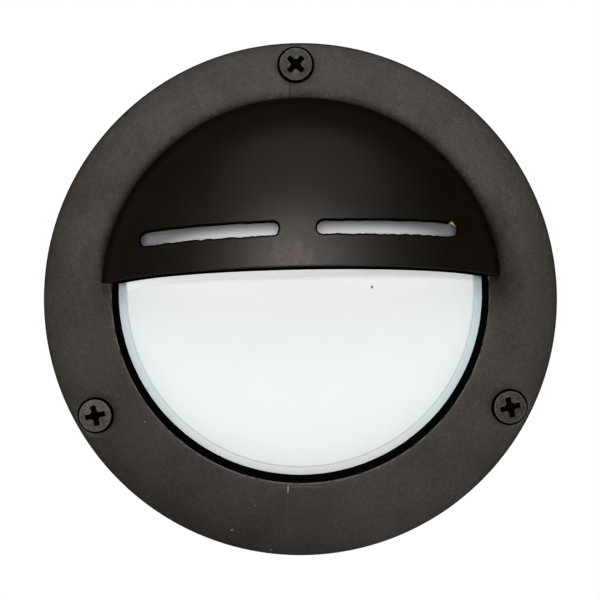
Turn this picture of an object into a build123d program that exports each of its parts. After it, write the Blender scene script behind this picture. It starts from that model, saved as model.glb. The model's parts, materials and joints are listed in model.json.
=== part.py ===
from build123d import *
import os

# A round wall light: a cast drum on the wall, a cast face ring with a half-dome hood brazed over
# a frosted lens, three cover screws, and a low-voltage pin lamp inside.
#
# X is to the right, Z is up and the wall is the plane Y = 0, with its centre at the origin.
# The light stands out from the wall towards -Y, and "out" is a distance from the wall.
# Angles round the Y axis are in degrees from 12 o'clock, clockwise as seen from the front.
# All sizes are in millimetres.

# Face ring
RING_D = 114.3
FACE_WIDTH = 15.25
RIM_T = 4.7
LIP_RISE = 1.3
RIM_ROUND = 1.0
LIP_ROUND = 0.5
LIP_T = 2.0
OPENING_UP = 1.15

# Hood over the upper half of the opening
HOOD_MARGIN = 3.6
HOOD_DEPTH = 15.5
HOOD_WALL = 2.9
HOOD_EDGE_UP = 3.4
HOOD_EDGE_TILT = 17.5
SLOT_HEIGHT = 3.3
SLOT_BRIDGE = 8.3
SLOT_END = 11.15
SLOT_UP = 8.55
BRAZE_GAP = 0.05
BRAZE_LEG = 0.9

# Lens and its seals
LENS_RECESS = 7.0
LENS_LAP = 3.9
LENS_FLANGE_T = 3.5
LENS_STEP_EDGE = 0.9
LENS_BEVEL = 2.0
LENS_STEP_H = 1.4
SEAL_LIP = 0.77
SEAL_GAP = 0.2
CUSHION_T = 1.0
CUSHION_WIDTH = 2.6

# Lens clips, screwed to the back of the face ring
CLIP_ANGLES = (60, 180, 300)
CLIP_W = 8.0
CLIP_T = 0.8
CLIP_GRIP = 2.8
CLIP_GAP = 0.5
CLIP_FOOT = 5.6
CLIP_SCREW_D = 2.5
CLIP_HEAD_D = 4.4
CLIP_HEAD_H = 1.4
CLIP_SCREW_BITE = 3.2

# Cover screws
COVER_EDGE = 4.65
COVER_ANGLES = {"top": 0, "right": 118.2, "left": 241.8}
COVER_CROSS_ANGLES = {"top": 45, "right": -14, "left": -12}
COVER_SCREW_D = 4.0
COVER_SCREW_LENGTH = 20.0
COVER_HEAD_D = 7.5
COVER_HEAD_LAND = 0.3
COVER_HEAD_SINK = 0.1
COVER_HOLE_D = 4.5
COUNTERSINK_GAP = 0.3
TIP_CHAMFER = 0.6
CROSS_D = 4.6
CROSS_W = 1.05
CROSS_DEPTH = 2.0
CROSS_TIP_D = 1.3
KEEPER_D = 6.4
KEEPER_T = 0.6
KEEPER_GAP = 0.2

# Housing and the seals at its two ends
WALL_SEAL_T = 2.0
WALL_SEAL_HOLE_D = 5.5
WALL_SEAL_ENTRY_GAP = 0.5
HOUSING_INSET = 0.65
HOUSING_DEPTH = 26.5
HOUSING_WALL = 2.5
HOUSING_FLOOR = 3.0
HOUSING_BACK_ROUND = 3.0
HOUSING_INNER_ROUND = 2.0
BOSS_D = 7.6
BOSS_HOLE_DEPTH = 16.0
COVER_SEAL_T = 1.5
COVER_SEAL_EDGE = 0.2
COVER_SEAL_LOBE_D = 7.2
MOUNT_SPACING = 60.0
MOUNT_HOLE_D = 4.5

# Cable entry in the floor of the housing, beside the terminal block
ENTRY_SIDE = 9.0
ENTRY_ABOVE = 3.0
ENTRY_HOLE_D = 10.0
GROMMET_BORE_D = 6.0
GROMMET_FLANGE_D = 14.0
GROMMET_FLANGE_T = 1.5
GROMMET_GAP = 0.05

# Lamp tray on two posts
POST_EDGE = 12.0
POST_Z = 10.0
POST_D = 7.0
POST_HEIGHT = 7.0
TRAY_GAP = 2.7
TRAY_T = 1.0
TRAY_RIM_H = 5.0
TRAY_CUT_GAP = 8.0
TRAY_SCREW_D = 3.0
TRAY_SCREW_LENGTH = 6.0
PAN_HEAD_D = 5.5
PAN_HEAD_H = 1.8
PILOT_GAP = 0.05
SCREW_SLOT_W = 0.7
SCREW_SLOT_DEPTH = 0.7

# Pin lamp, which pulls out of its holder towards -X
LAMP_X = -4.0
LAMP_Z = 4.0
LAMP_D = 28.0
LAMP_BOARD_T = 1.6
LAMP_PUCK_D = 24.0
LAMP_PUCK_T = 2.4
LAMP_PUCK_FLAT = 11.0
LAMP_LIFT = 2.0
OUTER_LED_COUNT = 10
INNER_LED_COUNT = 5
OUTER_LED_RING_D = 21.0
INNER_LED_RING_D = 10.0
LED_L = 3.0
LED_W = 2.4
LED_T = 0.8
PIN_D = 0.7
PIN_LENGTH = 12.5
PIN_PITCH = 4.0

# Lampholder
HOLDER_L = 13.0
HOLDER_W = 11.0
HOLDER_H = 7.0
HOLDER_LAMP_GAP = 1.5
HOLDER_PIN_HOLE_D = 0.9
HOLDER_PIN_ROOM = 0.5
HOLDER_EAR_L = 8.0
HOLDER_EAR_W = 7.0
HOLDER_EAR_T = 2.5
HOLDER_EDGE_ROUND = 0.6
HOLDER_SCREW_D = 2.5
HOLDER_SCREW_LENGTH = 5.0
HOLDER_HEAD_D = 4.4
HOLDER_HEAD_H = 1.4

# Terminal block on the floor, below the tray
BLOCK_X = -10.0
BLOCK_EDGE = 21.0
BLOCK_L = 22.0
BLOCK_W = 14.0
BLOCK_H = 11.0
BLOCK_POLE_PITCH = 7.0
BLOCK_SCREW_PITCH = 12.0
BLOCK_SCREW_D = 3.0
BLOCK_SCREW_LENGTH = 4.0
BLOCK_SCREW_SINK = 1.0
BLOCK_WELL_GAP = 0.1
BLOCK_ENTRY_D = 2.4
BLOCK_ENTRY_DEPTH = 4.0
BLOCK_EDGE_ROUND = 0.5
BLOCK_FIXING_D = 2.5
BLOCK_FIXING_BITE = 2.0
BLOCK_FIXING_HEAD_D = 4.4
BLOCK_FIXING_HEAD_H = 1.4
BLOCK_FIXING_SINK = 4.0

# Leads from the lampholder to the terminal block
LEAD_D = 1.8
LEAD_PITCH = 5.0
LEAD_GAP = 0.15
LEAD_HOLDER_DEPTH = 2.5
LEAD_RUN = 7.5
LEAD_SIDE_PITCH = 4.0
LEAD_BEND_R = 5.4

# Earth screw on the floor, below the leads
EARTH_SIDE = 9.0
EARTH_BELOW = 11.0
EARTH_PAD_D = 9.0
EARTH_PAD_H = 2.0
EARTH_WASHER_D = 8.0
EARTH_WASHER_T = 1.0
EARTH_SCREW_D = 4.0
EARTH_SCREW_BITE = 4.0
EARTH_HEAD_D = 7.0
EARTH_HEAD_H = 2.4

# Distances out from the wall, worked out from the sizes above
floor_back = WALL_SEAL_T
floor_front = floor_back + HOUSING_FLOOR
housing_rim = floor_back + HOUSING_DEPTH
ring_back = housing_rim + COVER_SEAL_T
rim_front = ring_back + RIM_T
lip_front = rim_front + LIP_RISE
lip_back = lip_front - LIP_T
lens_seat = lip_front - LENS_RECESS
lens_back = lens_seat - LENS_FLANGE_T
cushion_back = lens_back - CUSHION_T
tray_back = floor_front + POST_HEIGHT
tray_front = tray_back + TRAY_T
puck_back = tray_front + LAMP_LIFT
board_back = puck_back + LAMP_PUCK_T
board_front = board_back + LAMP_BOARD_T
pin_out = puck_back + LAMP_PUCK_T / 2

# Diameters, worked out from the ring's
opening_d = RING_D - 2 * FACE_WIDTH
hood_d = opening_d + 2 * HOOD_MARGIN
slot_length = (hood_d - SLOT_BRIDGE) / 2 - SLOT_END
lens_d = opening_d + 2 * LENS_LAP
lens_step_d = opening_d - 2 * LENS_STEP_EDGE
lens_face_d = lens_step_d - 2 * LENS_BEVEL
seal_sight_d = opening_d - 2 * SEAL_LIP
pocket_d = lens_d + 2 * SEAL_GAP
cover_pcd = RING_D - 2 * COVER_EDGE
housing_d = RING_D - 2 * HOUSING_INSET
housing_inner_d = housing_d - 2 * HOUSING_WALL
tray_d = cover_pcd - BOSS_D - 2 * TRAY_GAP

# Places of the inner pieces, worked out from the lamp's and the housing's
holder_x = LAMP_X + LAMP_D / 2 + HOLDER_LAMP_GAP
post_x = tray_d / 2 - POST_EDGE
block_z = BLOCK_EDGE - housing_inner_d / 2
tray_cut_z = block_z + BLOCK_W / 2 + TRAY_CUT_GAP
entry_x = BLOCK_X - BLOCK_L / 2 - ENTRY_SIDE
entry_z = block_z + ENTRY_ABOVE
lead_side_x = holder_x + HOLDER_L + LEAD_RUN
earth_x = BLOCK_X + BLOCK_L / 2 + EARTH_SIDE
earth_z = block_z - EARTH_BELOW

# Lens clips, placed from the lens axis
clip_riser = lens_d / 2 + CLIP_GAP
clip_screw_radius = clip_riser + CLIP_T + (CLIP_FOOT - CLIP_T) / 2


def face_out(radius):
    """Height of the ring's sloping front face at a distance from its axis."""
    slope = LIP_RISE / (RING_D / 2 - opening_d / 2)
    return rim_front + slope * (RING_D / 2 - radius)


def lathe(*corners):
    """Solid turned about the Y axis from (radius, out) corners."""
    outline = Polygon(*[(radius, -out) for radius, out in corners], align=None)
    return revolve(outline, Axis.Y)


def turned_ring(inner_d, outer_d, out_a, out_b):
    """Flat ring about the Y axis between two distances out."""
    inner = inner_d / 2
    outer = outer_d / 2
    return lathe((inner, out_a), (outer, out_a), (outer, out_b), (inner, out_b))


def turned_disc(diameter, out_a, out_b):
    """Solid disc about the Y axis between two distances out."""
    return turned_ring(0, diameter, out_a, out_b)


def block(x_range, out_range, z_range):
    """Box between two limits on each axis."""
    x_a, x_b = x_range
    out_a, out_b = out_range
    z_a, z_b = z_range
    centre = Pos((x_a + x_b) / 2, -(out_a + out_b) / 2, (z_a + z_b) / 2)
    return centre * Box(abs(x_b - x_a), abs(out_b - out_a), abs(z_b - z_a))


def around(angle, radius):
    """Place on a circle about the Y axis, with local +Z pointing away from the axis."""
    return Rot(0, angle, 0) * Pos(0, 0, radius)


def slotted_pan_screw(head_d, head_h, shank_d, seat, shank_length):
    """Cheese-head screw along Y, with its head in front of the seat."""
    screw = turned_disc(head_d, seat, seat + head_h)
    screw += turned_disc(shank_d, seat - shank_length, seat)
    slot_out = (seat + head_h - SCREW_SLOT_DEPTH, seat + head_h)
    half_slot = SCREW_SLOT_W / 2
    return screw - block((-head_d, head_d), slot_out, (-half_slot, half_slot))


def cover_places():
    return {side: around(angle, cover_pcd / 2) for side, angle in COVER_ANGLES.items()}


# Face ring and hood
def cover_head_top():
    return face_out(cover_pcd / 2) - COVER_HEAD_SINK


def clip_places(radius):
    return [Pos(0, 0, OPENING_UP) * around(angle, radius) for angle in CLIP_ANGLES]


def face_ring():
    radius = RING_D / 2
    outline = Polygon((0, -ring_back), (radius, -ring_back), (radius, -rim_front),
                      (0, -face_out(0)), align=None)
    rim_corner = outline.vertices().sort_by(Axis.X)[-2:].sort_by(Axis.Y)[0]
    outline = fillet(rim_corner, RIM_ROUND)
    ring = revolve(outline, Axis.Y)

    lens_axis = Pos(0, 0, OPENING_UP)
    ring -= lens_axis * turned_disc(opening_d, ring_back, face_out(0))
    lip_edge = ring.edges().filter_by(lambda edge: edge.center().Y < -rim_front)
    ring = fillet(lip_edge.sort_by(Axis.Y)[0], LIP_ROUND)
    ring -= lens_axis * turned_disc(pocket_d, ring_back, lip_back)

    hole = turned_disc(COVER_HOLE_D, ring_back, face_out(0))
    hole += cover_head_cone(COUNTERSINK_GAP, face_out(0))
    hole += turned_disc(KEEPER_D + KEEPER_GAP, ring_back, ring_back + KEEPER_T + KEEPER_GAP)
    for place in cover_places().values():
        ring -= place * hole
    pilot = turned_disc(CLIP_SCREW_D + 2 * PILOT_GAP, ring_back, ring_back + CLIP_SCREW_BITE)
    for place in clip_places(clip_screw_radius):
        ring -= place * pilot
    return ring


def cover_head_cone(gap, top):
    """Ninety degree cone of a cover screw's head, grown by a radial gap and carried up to a top."""
    head_top = cover_head_top()
    land = head_top - COVER_HEAD_LAND
    head = COVER_HEAD_D / 2 + gap
    shank = COVER_SCREW_D / 2
    return lathe((0, land - (head - shank)), (shank, land - (head - shank)), (head, land),
                 (head, top), (0, top))


def hood_frame():
    """Frame on the plane of the hood's lower edge, where that plane meets the ring."""
    return Pos(0, -face_out(hood_d / 2), HOOD_EDGE_UP) * Rot(-HOOD_EDGE_TILT, 0, 0)


def below_hood_edge():
    under = (Align.CENTER, Align.CENTER, Align.MAX)
    return hood_frame() * Box(2 * RING_D, 2 * RING_D, RING_D, align=under)


def ring_envelope(gap):
    """The ring's outside with its opening filled, and its front face raised by a gap."""
    radius = RING_D / 2
    return lathe((0, ring_back), (radius, ring_back), (radius, rim_front + gap), (0, face_out(0) + gap))


def hood():
    radius = hood_d / 2
    base = face_out(radius)
    outer = Pos(0, -base) * Ellipse(radius, HOOD_DEPTH)
    inner = Pos(0, -base) * Ellipse(radius - HOOD_WALL, HOOD_DEPTH - HOOD_WALL)
    front_half = Pos(radius / 2, -base - HOOD_DEPTH / 2) * Rectangle(radius, HOOD_DEPTH)
    shell = revolve((outer - inner) & front_half, Axis.Y)
    shell -= ring_envelope(BRAZE_GAP)
    shell -= below_hood_edge()
    slot = extrude(Plane.XZ * SlotOverall(slot_length, SLOT_HEIGHT), amount=2 * HOOD_DEPTH)
    slot_x = (SLOT_BRIDGE + slot_length) / 2
    for x in (-slot_x, slot_x):
        shell -= hood_frame() * Pos(x, 0, SLOT_UP) * slot
    return shell


def hood_braze():
    """Fillet of braze metal along the outside of the hood's foot."""
    foot = hood_d / 2 + BRAZE_GAP
    toe = foot + BRAZE_LEG
    bead = lathe((foot, face_out(foot) + BRAZE_GAP), (toe, face_out(toe) + BRAZE_GAP),
                 (foot, face_out(foot) + BRAZE_LEG))
    return bead - below_hood_edge()


# Lens, its seals and clips
def lens_seal():
    outer = pocket_d / 2 - SEAL_GAP
    sight = seal_sight_d / 2
    seal = lathe((sight, lens_seat), (outer, lens_seat), (outer, lip_back), (opening_d / 2, lip_back))
    return Pos(0, 0, OPENING_UP) * seal


def lens():
    flange = lens_d / 2
    step = lens_step_d / 2
    face = lens_face_d / 2
    lens_face = lens_seat + LENS_STEP_H
    glass = lathe((0, lens_back), (flange, lens_back), (flange, lens_seat), (step, lens_seat),
                  (face, lens_face), (0, lens_face))
    return Pos(0, 0, OPENING_UP) * glass


def lens_cushion():
    inner_d = lens_d - 2 * CUSHION_WIDTH
    return Pos(0, 0, OPENING_UP) * turned_ring(inner_d, lens_d, cushion_back, lens_back)


def lens_clips():
    across = (-CLIP_W / 2, CLIP_W / 2)
    riser_z = (clip_riser, clip_riser + CLIP_T)
    toe_out = (cushion_back - CLIP_T, cushion_back)
    foot_out = (ring_back - CLIP_T, ring_back)
    clip = block(across, toe_out, (clip_riser - CLIP_GRIP, clip_riser + CLIP_T))
    clip += block(across, (cushion_back - CLIP_T, ring_back), riser_z)
    clip += block(across, foot_out, (clip_riser, clip_riser + CLIP_FOOT))
    hole = turned_disc(CLIP_SCREW_D + 2 * PILOT_GAP, cushion_back, ring_back)
    clip -= Pos(0, 0, clip_screw_radius) * hole
    return Compound(children=[place * clip for place in clip_places(0)])


def clip_screws():
    """Screws put in from the back, so they are turned to face the wall."""
    seat = ring_back - CLIP_T
    length = CLIP_T + CLIP_SCREW_BITE - PILOT_GAP
    screw = slotted_pan_screw(CLIP_HEAD_D, CLIP_HEAD_H, CLIP_SCREW_D, 0, length)
    from_back = Pos(0, -seat, 0) * Rot(180, 0, 0) * screw
    return Compound(children=[place * from_back for place in clip_places(clip_screw_radius)])


# Cover screws
def cover_screw(cross_angle):
    head_top = cover_head_top()
    tip = head_top - COVER_SCREW_LENGTH
    shank = COVER_SCREW_D / 2
    neck = head_top - COVER_HEAD_LAND - (COVER_HEAD_D - COVER_SCREW_D) / 2
    screw = cover_head_cone(0, head_top)
    screw += lathe((0, tip), (shank - TIP_CHAMFER, tip), (shank, tip + TIP_CHAMFER), (shank, neck), (0, neck))
    arm = CROSS_D / 2
    half = CROSS_W / 2
    depth = (head_top - CROSS_DEPTH, head_top)
    cross = block((-arm, arm), depth, (-half, half)) + block((-half, half), depth, (-arm, arm))
    cross &= lathe((0, depth[0]), (CROSS_TIP_D / 2, depth[0]), (arm, head_top), (0, head_top))
    return screw - Rot(0, cross_angle, 0) * cross


def cover_screws():
    return {f"cover_screw_{side}": place * cover_screw(COVER_CROSS_ANGLES[side])
            for side, place in cover_places().items()}


def screw_keepers():
    """Push-on washers that keep the cover screws on the ring when it comes off."""
    top = ring_back + KEEPER_T + KEEPER_GAP
    washer = turned_ring(COVER_SCREW_D + 2 * PILOT_GAP, KEEPER_D, top - KEEPER_T, top)
    return Compound(children=[place * washer for place in cover_places().values()])


# Housing and the seals at its two ends
def housing():
    outer = housing_d / 2
    outline = Polygon((0, -floor_back), (outer, -floor_back), (outer, -housing_rim),
                      (0, -housing_rim), align=None)
    back_corner = outline.vertices().sort_by(Axis.X)[-2:].sort_by(Axis.Y)[-1]
    drum = revolve(fillet(back_corner, HOUSING_BACK_ROUND), Axis.Y)
    inner = housing_inner_d / 2
    hollow = Polygon((0, -floor_front), (inner, -floor_front), (inner, -housing_rim),
                     (0, -housing_rim), align=None)
    floor_corner = hollow.vertices().sort_by(Axis.X)[-2:].sort_by(Axis.Y)[-1]
    drum -= revolve(fillet(floor_corner, HOUSING_INNER_ROUND), Axis.Y)

    boss = turned_disc(BOSS_D, floor_front, housing_rim)
    thread = turned_disc(COVER_SCREW_D + 2 * PILOT_GAP, housing_rim - BOSS_HOLE_DEPTH, housing_rim)
    for place in cover_places().values():
        drum += place * boss
        drum -= place * thread

    post = turned_disc(POST_D, floor_front, tray_back)
    post_hole = turned_disc(TRAY_SCREW_D + 2 * PILOT_GAP, tray_back - TRAY_SCREW_LENGTH, tray_back)
    for place in post_places():
        drum += place * post
        drum -= place * post_hole
    drum += earth_place() * turned_disc(EARTH_PAD_D, floor_front, earth_seat())
    earth_hole_d = EARTH_SCREW_D + 2 * PILOT_GAP
    drum -= earth_place() * turned_disc(earth_hole_d, earth_seat() - EARTH_SCREW_BITE, earth_seat())

    wall_hole = turned_disc(MOUNT_HOLE_D, floor_back, floor_front)
    for place in mount_places():
        drum -= place * wall_hole
    drum -= entry_place() * turned_disc(ENTRY_HOLE_D, floor_back, floor_front)
    fixing = turned_disc(BLOCK_FIXING_D + 2 * PILOT_GAP, floor_front - BLOCK_FIXING_BITE, floor_front)
    return drum - block_place() * fixing


def mount_places():
    return [Pos(x, 0, 0) for x in (-MOUNT_SPACING / 2, MOUNT_SPACING / 2)]


def wall_seal():
    seal = turned_disc(housing_d - 2 * HOUSING_BACK_ROUND, 0, WALL_SEAL_T)
    for place in mount_places():
        seal -= place * turned_disc(WALL_SEAL_HOLE_D, 0, WALL_SEAL_T)
    entry_d = GROMMET_FLANGE_D + 2 * WALL_SEAL_ENTRY_GAP
    return seal - entry_place() * turned_disc(entry_d, 0, WALL_SEAL_T)


def cover_seal():
    inner_d = housing_inner_d + 2 * COVER_SEAL_EDGE
    outer_d = housing_d - 2 * COVER_SEAL_EDGE
    seal = turned_ring(inner_d, outer_d, housing_rim, ring_back)
    lobe = turned_disc(COVER_SEAL_LOBE_D, housing_rim, ring_back)
    hole = turned_disc(COVER_HOLE_D, housing_rim, ring_back)
    for place in cover_places().values():
        seal += place * lobe
        seal -= place * hole
    return seal


# Cable entry
def entry_place():
    return Pos(entry_x, 0, entry_z)


def cable_grommet():
    bore = GROMMET_BORE_D / 2
    neck = ENTRY_HOLE_D / 2 - GROMMET_GAP
    flange = GROMMET_FLANGE_D / 2
    back = floor_back - GROMMET_FLANGE_T
    front = floor_front + GROMMET_FLANGE_T
    grommet = lathe((bore, back), (flange, back), (flange, floor_back), (neck, floor_back),
                    (neck, floor_front), (flange, floor_front), (flange, front), (bore, front))
    return entry_place() * grommet


# Lamp tray
def post_places():
    return [Pos(x, 0, POST_Z) for x in (-post_x, post_x)]


def lamp_tray():
    tray = turned_disc(tray_d, tray_back, tray_front)
    tray += turned_ring(tray_d - 2 * TRAY_T, tray_d, tray_back, tray_front + TRAY_RIM_H)
    below_cut = (tray_cut_z - tray_d, tray_cut_z)
    tray -= block((-tray_d, tray_d), (tray_back, tray_front + TRAY_RIM_H), below_cut)
    screw_hole = turned_disc(TRAY_SCREW_D + 2 * PILOT_GAP, tray_back, tray_front)
    for place in post_places():
        tray -= place * screw_hole
    holder_hole = turned_disc(HOLDER_SCREW_D + 2 * PILOT_GAP, tray_back, tray_front)
    for place in holder_screw_places():
        tray -= place * holder_hole
    return tray


def tray_screws():
    screw = slotted_pan_screw(PAN_HEAD_D, PAN_HEAD_H, TRAY_SCREW_D, tray_front, TRAY_SCREW_LENGTH)
    return Compound(children=[place * screw for place in post_places()])


# Lampholder
def holder_screw_places():
    x = holder_x + HOLDER_L / 2
    offset = (HOLDER_W + HOLDER_EAR_W) / 2
    return [Pos(x, 0, LAMP_Z + z) for z in (-offset, offset)]


def lampholder():
    half = HOLDER_W / 2
    body = block((holder_x, holder_x + HOLDER_L), (tray_front, tray_front + HOLDER_H), (-half, half))
    body = fillet(body.edges().filter_by(Axis.Y), HOLDER_EDGE_ROUND)
    ear_x = holder_x + (HOLDER_L - HOLDER_EAR_L) / 2
    reach = half + HOLDER_EAR_W
    body += block((ear_x, ear_x + HOLDER_EAR_L), (tray_front, tray_front + HOLDER_EAR_T), (-reach, reach))
    pin_hole = Cylinder(HOLDER_PIN_HOLE_D / 2, pin_grip() + HOLDER_PIN_ROOM, rotation=(0, 90, 0),
                        align=(Align.CENTER, Align.CENTER, Align.MIN))
    for z in (-PIN_PITCH / 2, PIN_PITCH / 2):
        body -= Pos(holder_x, -pin_out, z) * pin_hole
    lead_hole = Cylinder(LEAD_D / 2 + LEAD_GAP, LEAD_HOLDER_DEPTH, rotation=(0, 90, 0),
                         align=(Align.CENTER, Align.CENTER, Align.MAX))
    for z in (-LEAD_PITCH / 2, LEAD_PITCH / 2):
        body -= Pos(holder_x + HOLDER_L, -pin_out, z) * lead_hole
    body = Pos(0, 0, LAMP_Z) * body
    screw_hole = turned_disc(HOLDER_SCREW_D + 2 * PILOT_GAP, tray_front, tray_front + HOLDER_EAR_T)
    for place in holder_screw_places():
        body -= place * screw_hole
    return body


def holder_screws():
    seat = tray_front + HOLDER_EAR_T
    screw = slotted_pan_screw(HOLDER_HEAD_D, HOLDER_HEAD_H, HOLDER_SCREW_D, seat, HOLDER_SCREW_LENGTH)
    return Compound(children=[place * screw for place in holder_screw_places()])


# Pin lamp
def lamp_place():
    return Pos(LAMP_X, 0, LAMP_Z)


def pin_grip():
    """Length of a lamp pin inside the holder."""
    return LAMP_X + LAMP_PUCK_FLAT + PIN_LENGTH - holder_x


def lamp_puck():
    puck = turned_disc(LAMP_PUCK_D, puck_back, board_back)
    past_flat = (LAMP_PUCK_FLAT, LAMP_PUCK_D)
    puck -= block(past_flat, (puck_back, board_back), (-LAMP_PUCK_D, LAMP_PUCK_D))
    return lamp_place() * puck


def lamp_board():
    return lamp_place() * turned_disc(LAMP_D, board_back, board_front)


def lamp_leds():
    chip = block((-LED_L / 2, LED_L / 2), (board_front, board_front + LED_T), (-LED_W / 2, LED_W / 2))
    chips = []
    for count, ring_d in ((OUTER_LED_COUNT, OUTER_LED_RING_D), (INNER_LED_COUNT, INNER_LED_RING_D)):
        for number in range(count):
            chips.append(lamp_place() * around(number * 360 / count, ring_d / 2) * chip)
    return Compound(children=chips)


def lamp_pins():
    pin = Cylinder(PIN_D / 2, PIN_LENGTH, rotation=(0, 90, 0), align=(Align.CENTER, Align.CENTER, Align.MIN))
    places = [Pos(LAMP_PUCK_FLAT, -pin_out, z) for z in (-PIN_PITCH / 2, PIN_PITCH / 2)]
    return Compound(children=[lamp_place() * place * pin for place in places])


# Terminal block
def block_place():
    return Pos(BLOCK_X, 0, block_z)


def terminal_screw_places():
    return [block_place() * Pos(x, 0, z)
            for x in (-BLOCK_SCREW_PITCH / 2, BLOCK_SCREW_PITCH / 2)
            for z in (-BLOCK_POLE_PITCH / 2, BLOCK_POLE_PITCH / 2)]


def terminal_block():
    half_l = BLOCK_L / 2
    half_w = BLOCK_W / 2
    top = floor_front + BLOCK_H
    body = block((-half_l, half_l), (floor_front, top), (-half_w, half_w))
    body = fillet(body.edges().filter_by(Axis.Y), BLOCK_EDGE_ROUND)
    body -= turned_disc(BLOCK_FIXING_D + 2 * PILOT_GAP, floor_front, top)
    body -= turned_disc(BLOCK_FIXING_HEAD_D + 2 * BLOCK_WELL_GAP, top - BLOCK_FIXING_SINK, top)
    entry = Cylinder(BLOCK_ENTRY_D / 2, BLOCK_ENTRY_DEPTH, rotation=(0, 90, 0),
                     align=(Align.CENTER, Align.CENTER, Align.MAX))
    for z in (-BLOCK_POLE_PITCH / 2, BLOCK_POLE_PITCH / 2):
        right_entry = Pos(half_l, -lead_end_out(), z) * entry
        body -= right_entry
        body -= mirror(right_entry, Plane.YZ)
    body = block_place() * body
    well_floor = top - BLOCK_SCREW_SINK - BLOCK_SCREW_LENGTH
    well = turned_disc(BLOCK_SCREW_D + 2 * BLOCK_WELL_GAP, well_floor, top)
    for place in terminal_screw_places():
        body -= place * well
    return body


def terminal_screws():
    head_h = BLOCK_SCREW_LENGTH / 2
    seat = floor_front + BLOCK_H - BLOCK_SCREW_SINK - head_h
    screw = slotted_pan_screw(BLOCK_SCREW_D, head_h, BLOCK_SCREW_D, seat, head_h)
    return Compound(children=[place * screw for place in terminal_screw_places()])


def terminal_fixing():
    seat = floor_front + BLOCK_H - BLOCK_FIXING_SINK
    length = BLOCK_H - BLOCK_FIXING_SINK + BLOCK_FIXING_BITE - PILOT_GAP
    screw = slotted_pan_screw(BLOCK_FIXING_HEAD_D, BLOCK_FIXING_HEAD_H, BLOCK_FIXING_D, seat, length)
    return block_place() * screw


# Inner leads
def lead_end_out():
    """Height of the block's wire entries, halfway between the floor and its clamp screws."""
    return floor_front + (BLOCK_H - BLOCK_SCREW_SINK - BLOCK_SCREW_LENGTH) / 2


def lead(side):
    """One lead: out of the holder, down beside the tray's cut edge and across into the block.

    side is +1 for the lead that starts above and runs outside, -1 for the one inside it.
    """
    start_x = holder_x + HOLDER_L - LEAD_HOLDER_DEPTH
    start_z = LAMP_Z + side * LEAD_PITCH / 2
    down_x = lead_side_x + side * LEAD_SIDE_PITCH / 2
    end_x = BLOCK_X + BLOCK_L / 2 - BLOCK_ENTRY_DEPTH
    end_z = block_z - side * BLOCK_POLE_PITCH / 2
    route = FilletPolyline(
        (start_x, -pin_out, start_z),
        (down_x, -pin_out, start_z),
        (down_x, -pin_out, tray_cut_z),
        (down_x, -lead_end_out(), end_z),
        (end_x, -lead_end_out(), end_z),
        radius=LEAD_BEND_R,
    )
    section = Plane(route @ 0, z_dir=route % 0) * Circle(LEAD_D / 2)
    return sweep(section, path=route)


# Earth point
def earth_place():
    return Pos(earth_x, 0, earth_z)


def earth_seat():
    return floor_front + EARTH_PAD_H


def earth_washer():
    hole_d = EARTH_SCREW_D + 2 * PILOT_GAP
    ring = turned_ring(hole_d, EARTH_WASHER_D, earth_seat(), earth_seat() + EARTH_WASHER_T)
    return earth_place() * ring


def earth_screw():
    seat = earth_seat() + EARTH_WASHER_T
    length = EARTH_WASHER_T + EARTH_SCREW_BITE - PILOT_GAP
    return earth_place() * slotted_pan_screw(EARTH_HEAD_D, EARTH_HEAD_H, EARTH_SCREW_D, seat, length)


pieces = {
    "wall_seal": wall_seal(),
    "housing": housing(),
    "cover_seal": cover_seal(),
    "cable_grommet": cable_grommet(),
    "face_ring": face_ring(),
    "hood": hood(),
    "hood_braze": hood_braze(),
    "lens_seal": lens_seal(),
    "lens": lens(),
    "lens_cushion": lens_cushion(),
    "lens_clips": lens_clips(),
    "clip_screws": clip_screws(),
    "screw_keepers": screw_keepers(),
    "lamp_tray": lamp_tray(),
    "tray_screws": tray_screws(),
    "lampholder": lampholder(),
    "holder_screws": holder_screws(),
    "lamp_puck": lamp_puck(),
    "lamp_board": lamp_board(),
    "lamp_leds": lamp_leds(),
    "lamp_pins": lamp_pins(),
    "terminal_block": terminal_block(),
    "terminal_screws": terminal_screws(),
    "terminal_fixing": terminal_fixing(),
    "lead_live": lead(+1),
    "lead_neutral": lead(-1),
    "earth_washer": earth_washer(),
    "earth_screw": earth_screw(),
}
pieces.update(cover_screws())

os.makedirs("parts", exist_ok=True)
for name, shape in pieces.items():
    export_step(shape, f"parts/{name}.step")
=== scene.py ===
import json
import math

import bmesh
import bpy
import numpy as np
from bpy.props import FloatProperty, FloatVectorProperty, IntProperty, PointerProperty
from mathutils import Matrix, Vector, noise
from mathutils.geometry import delaunay_2d_cdt


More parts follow.
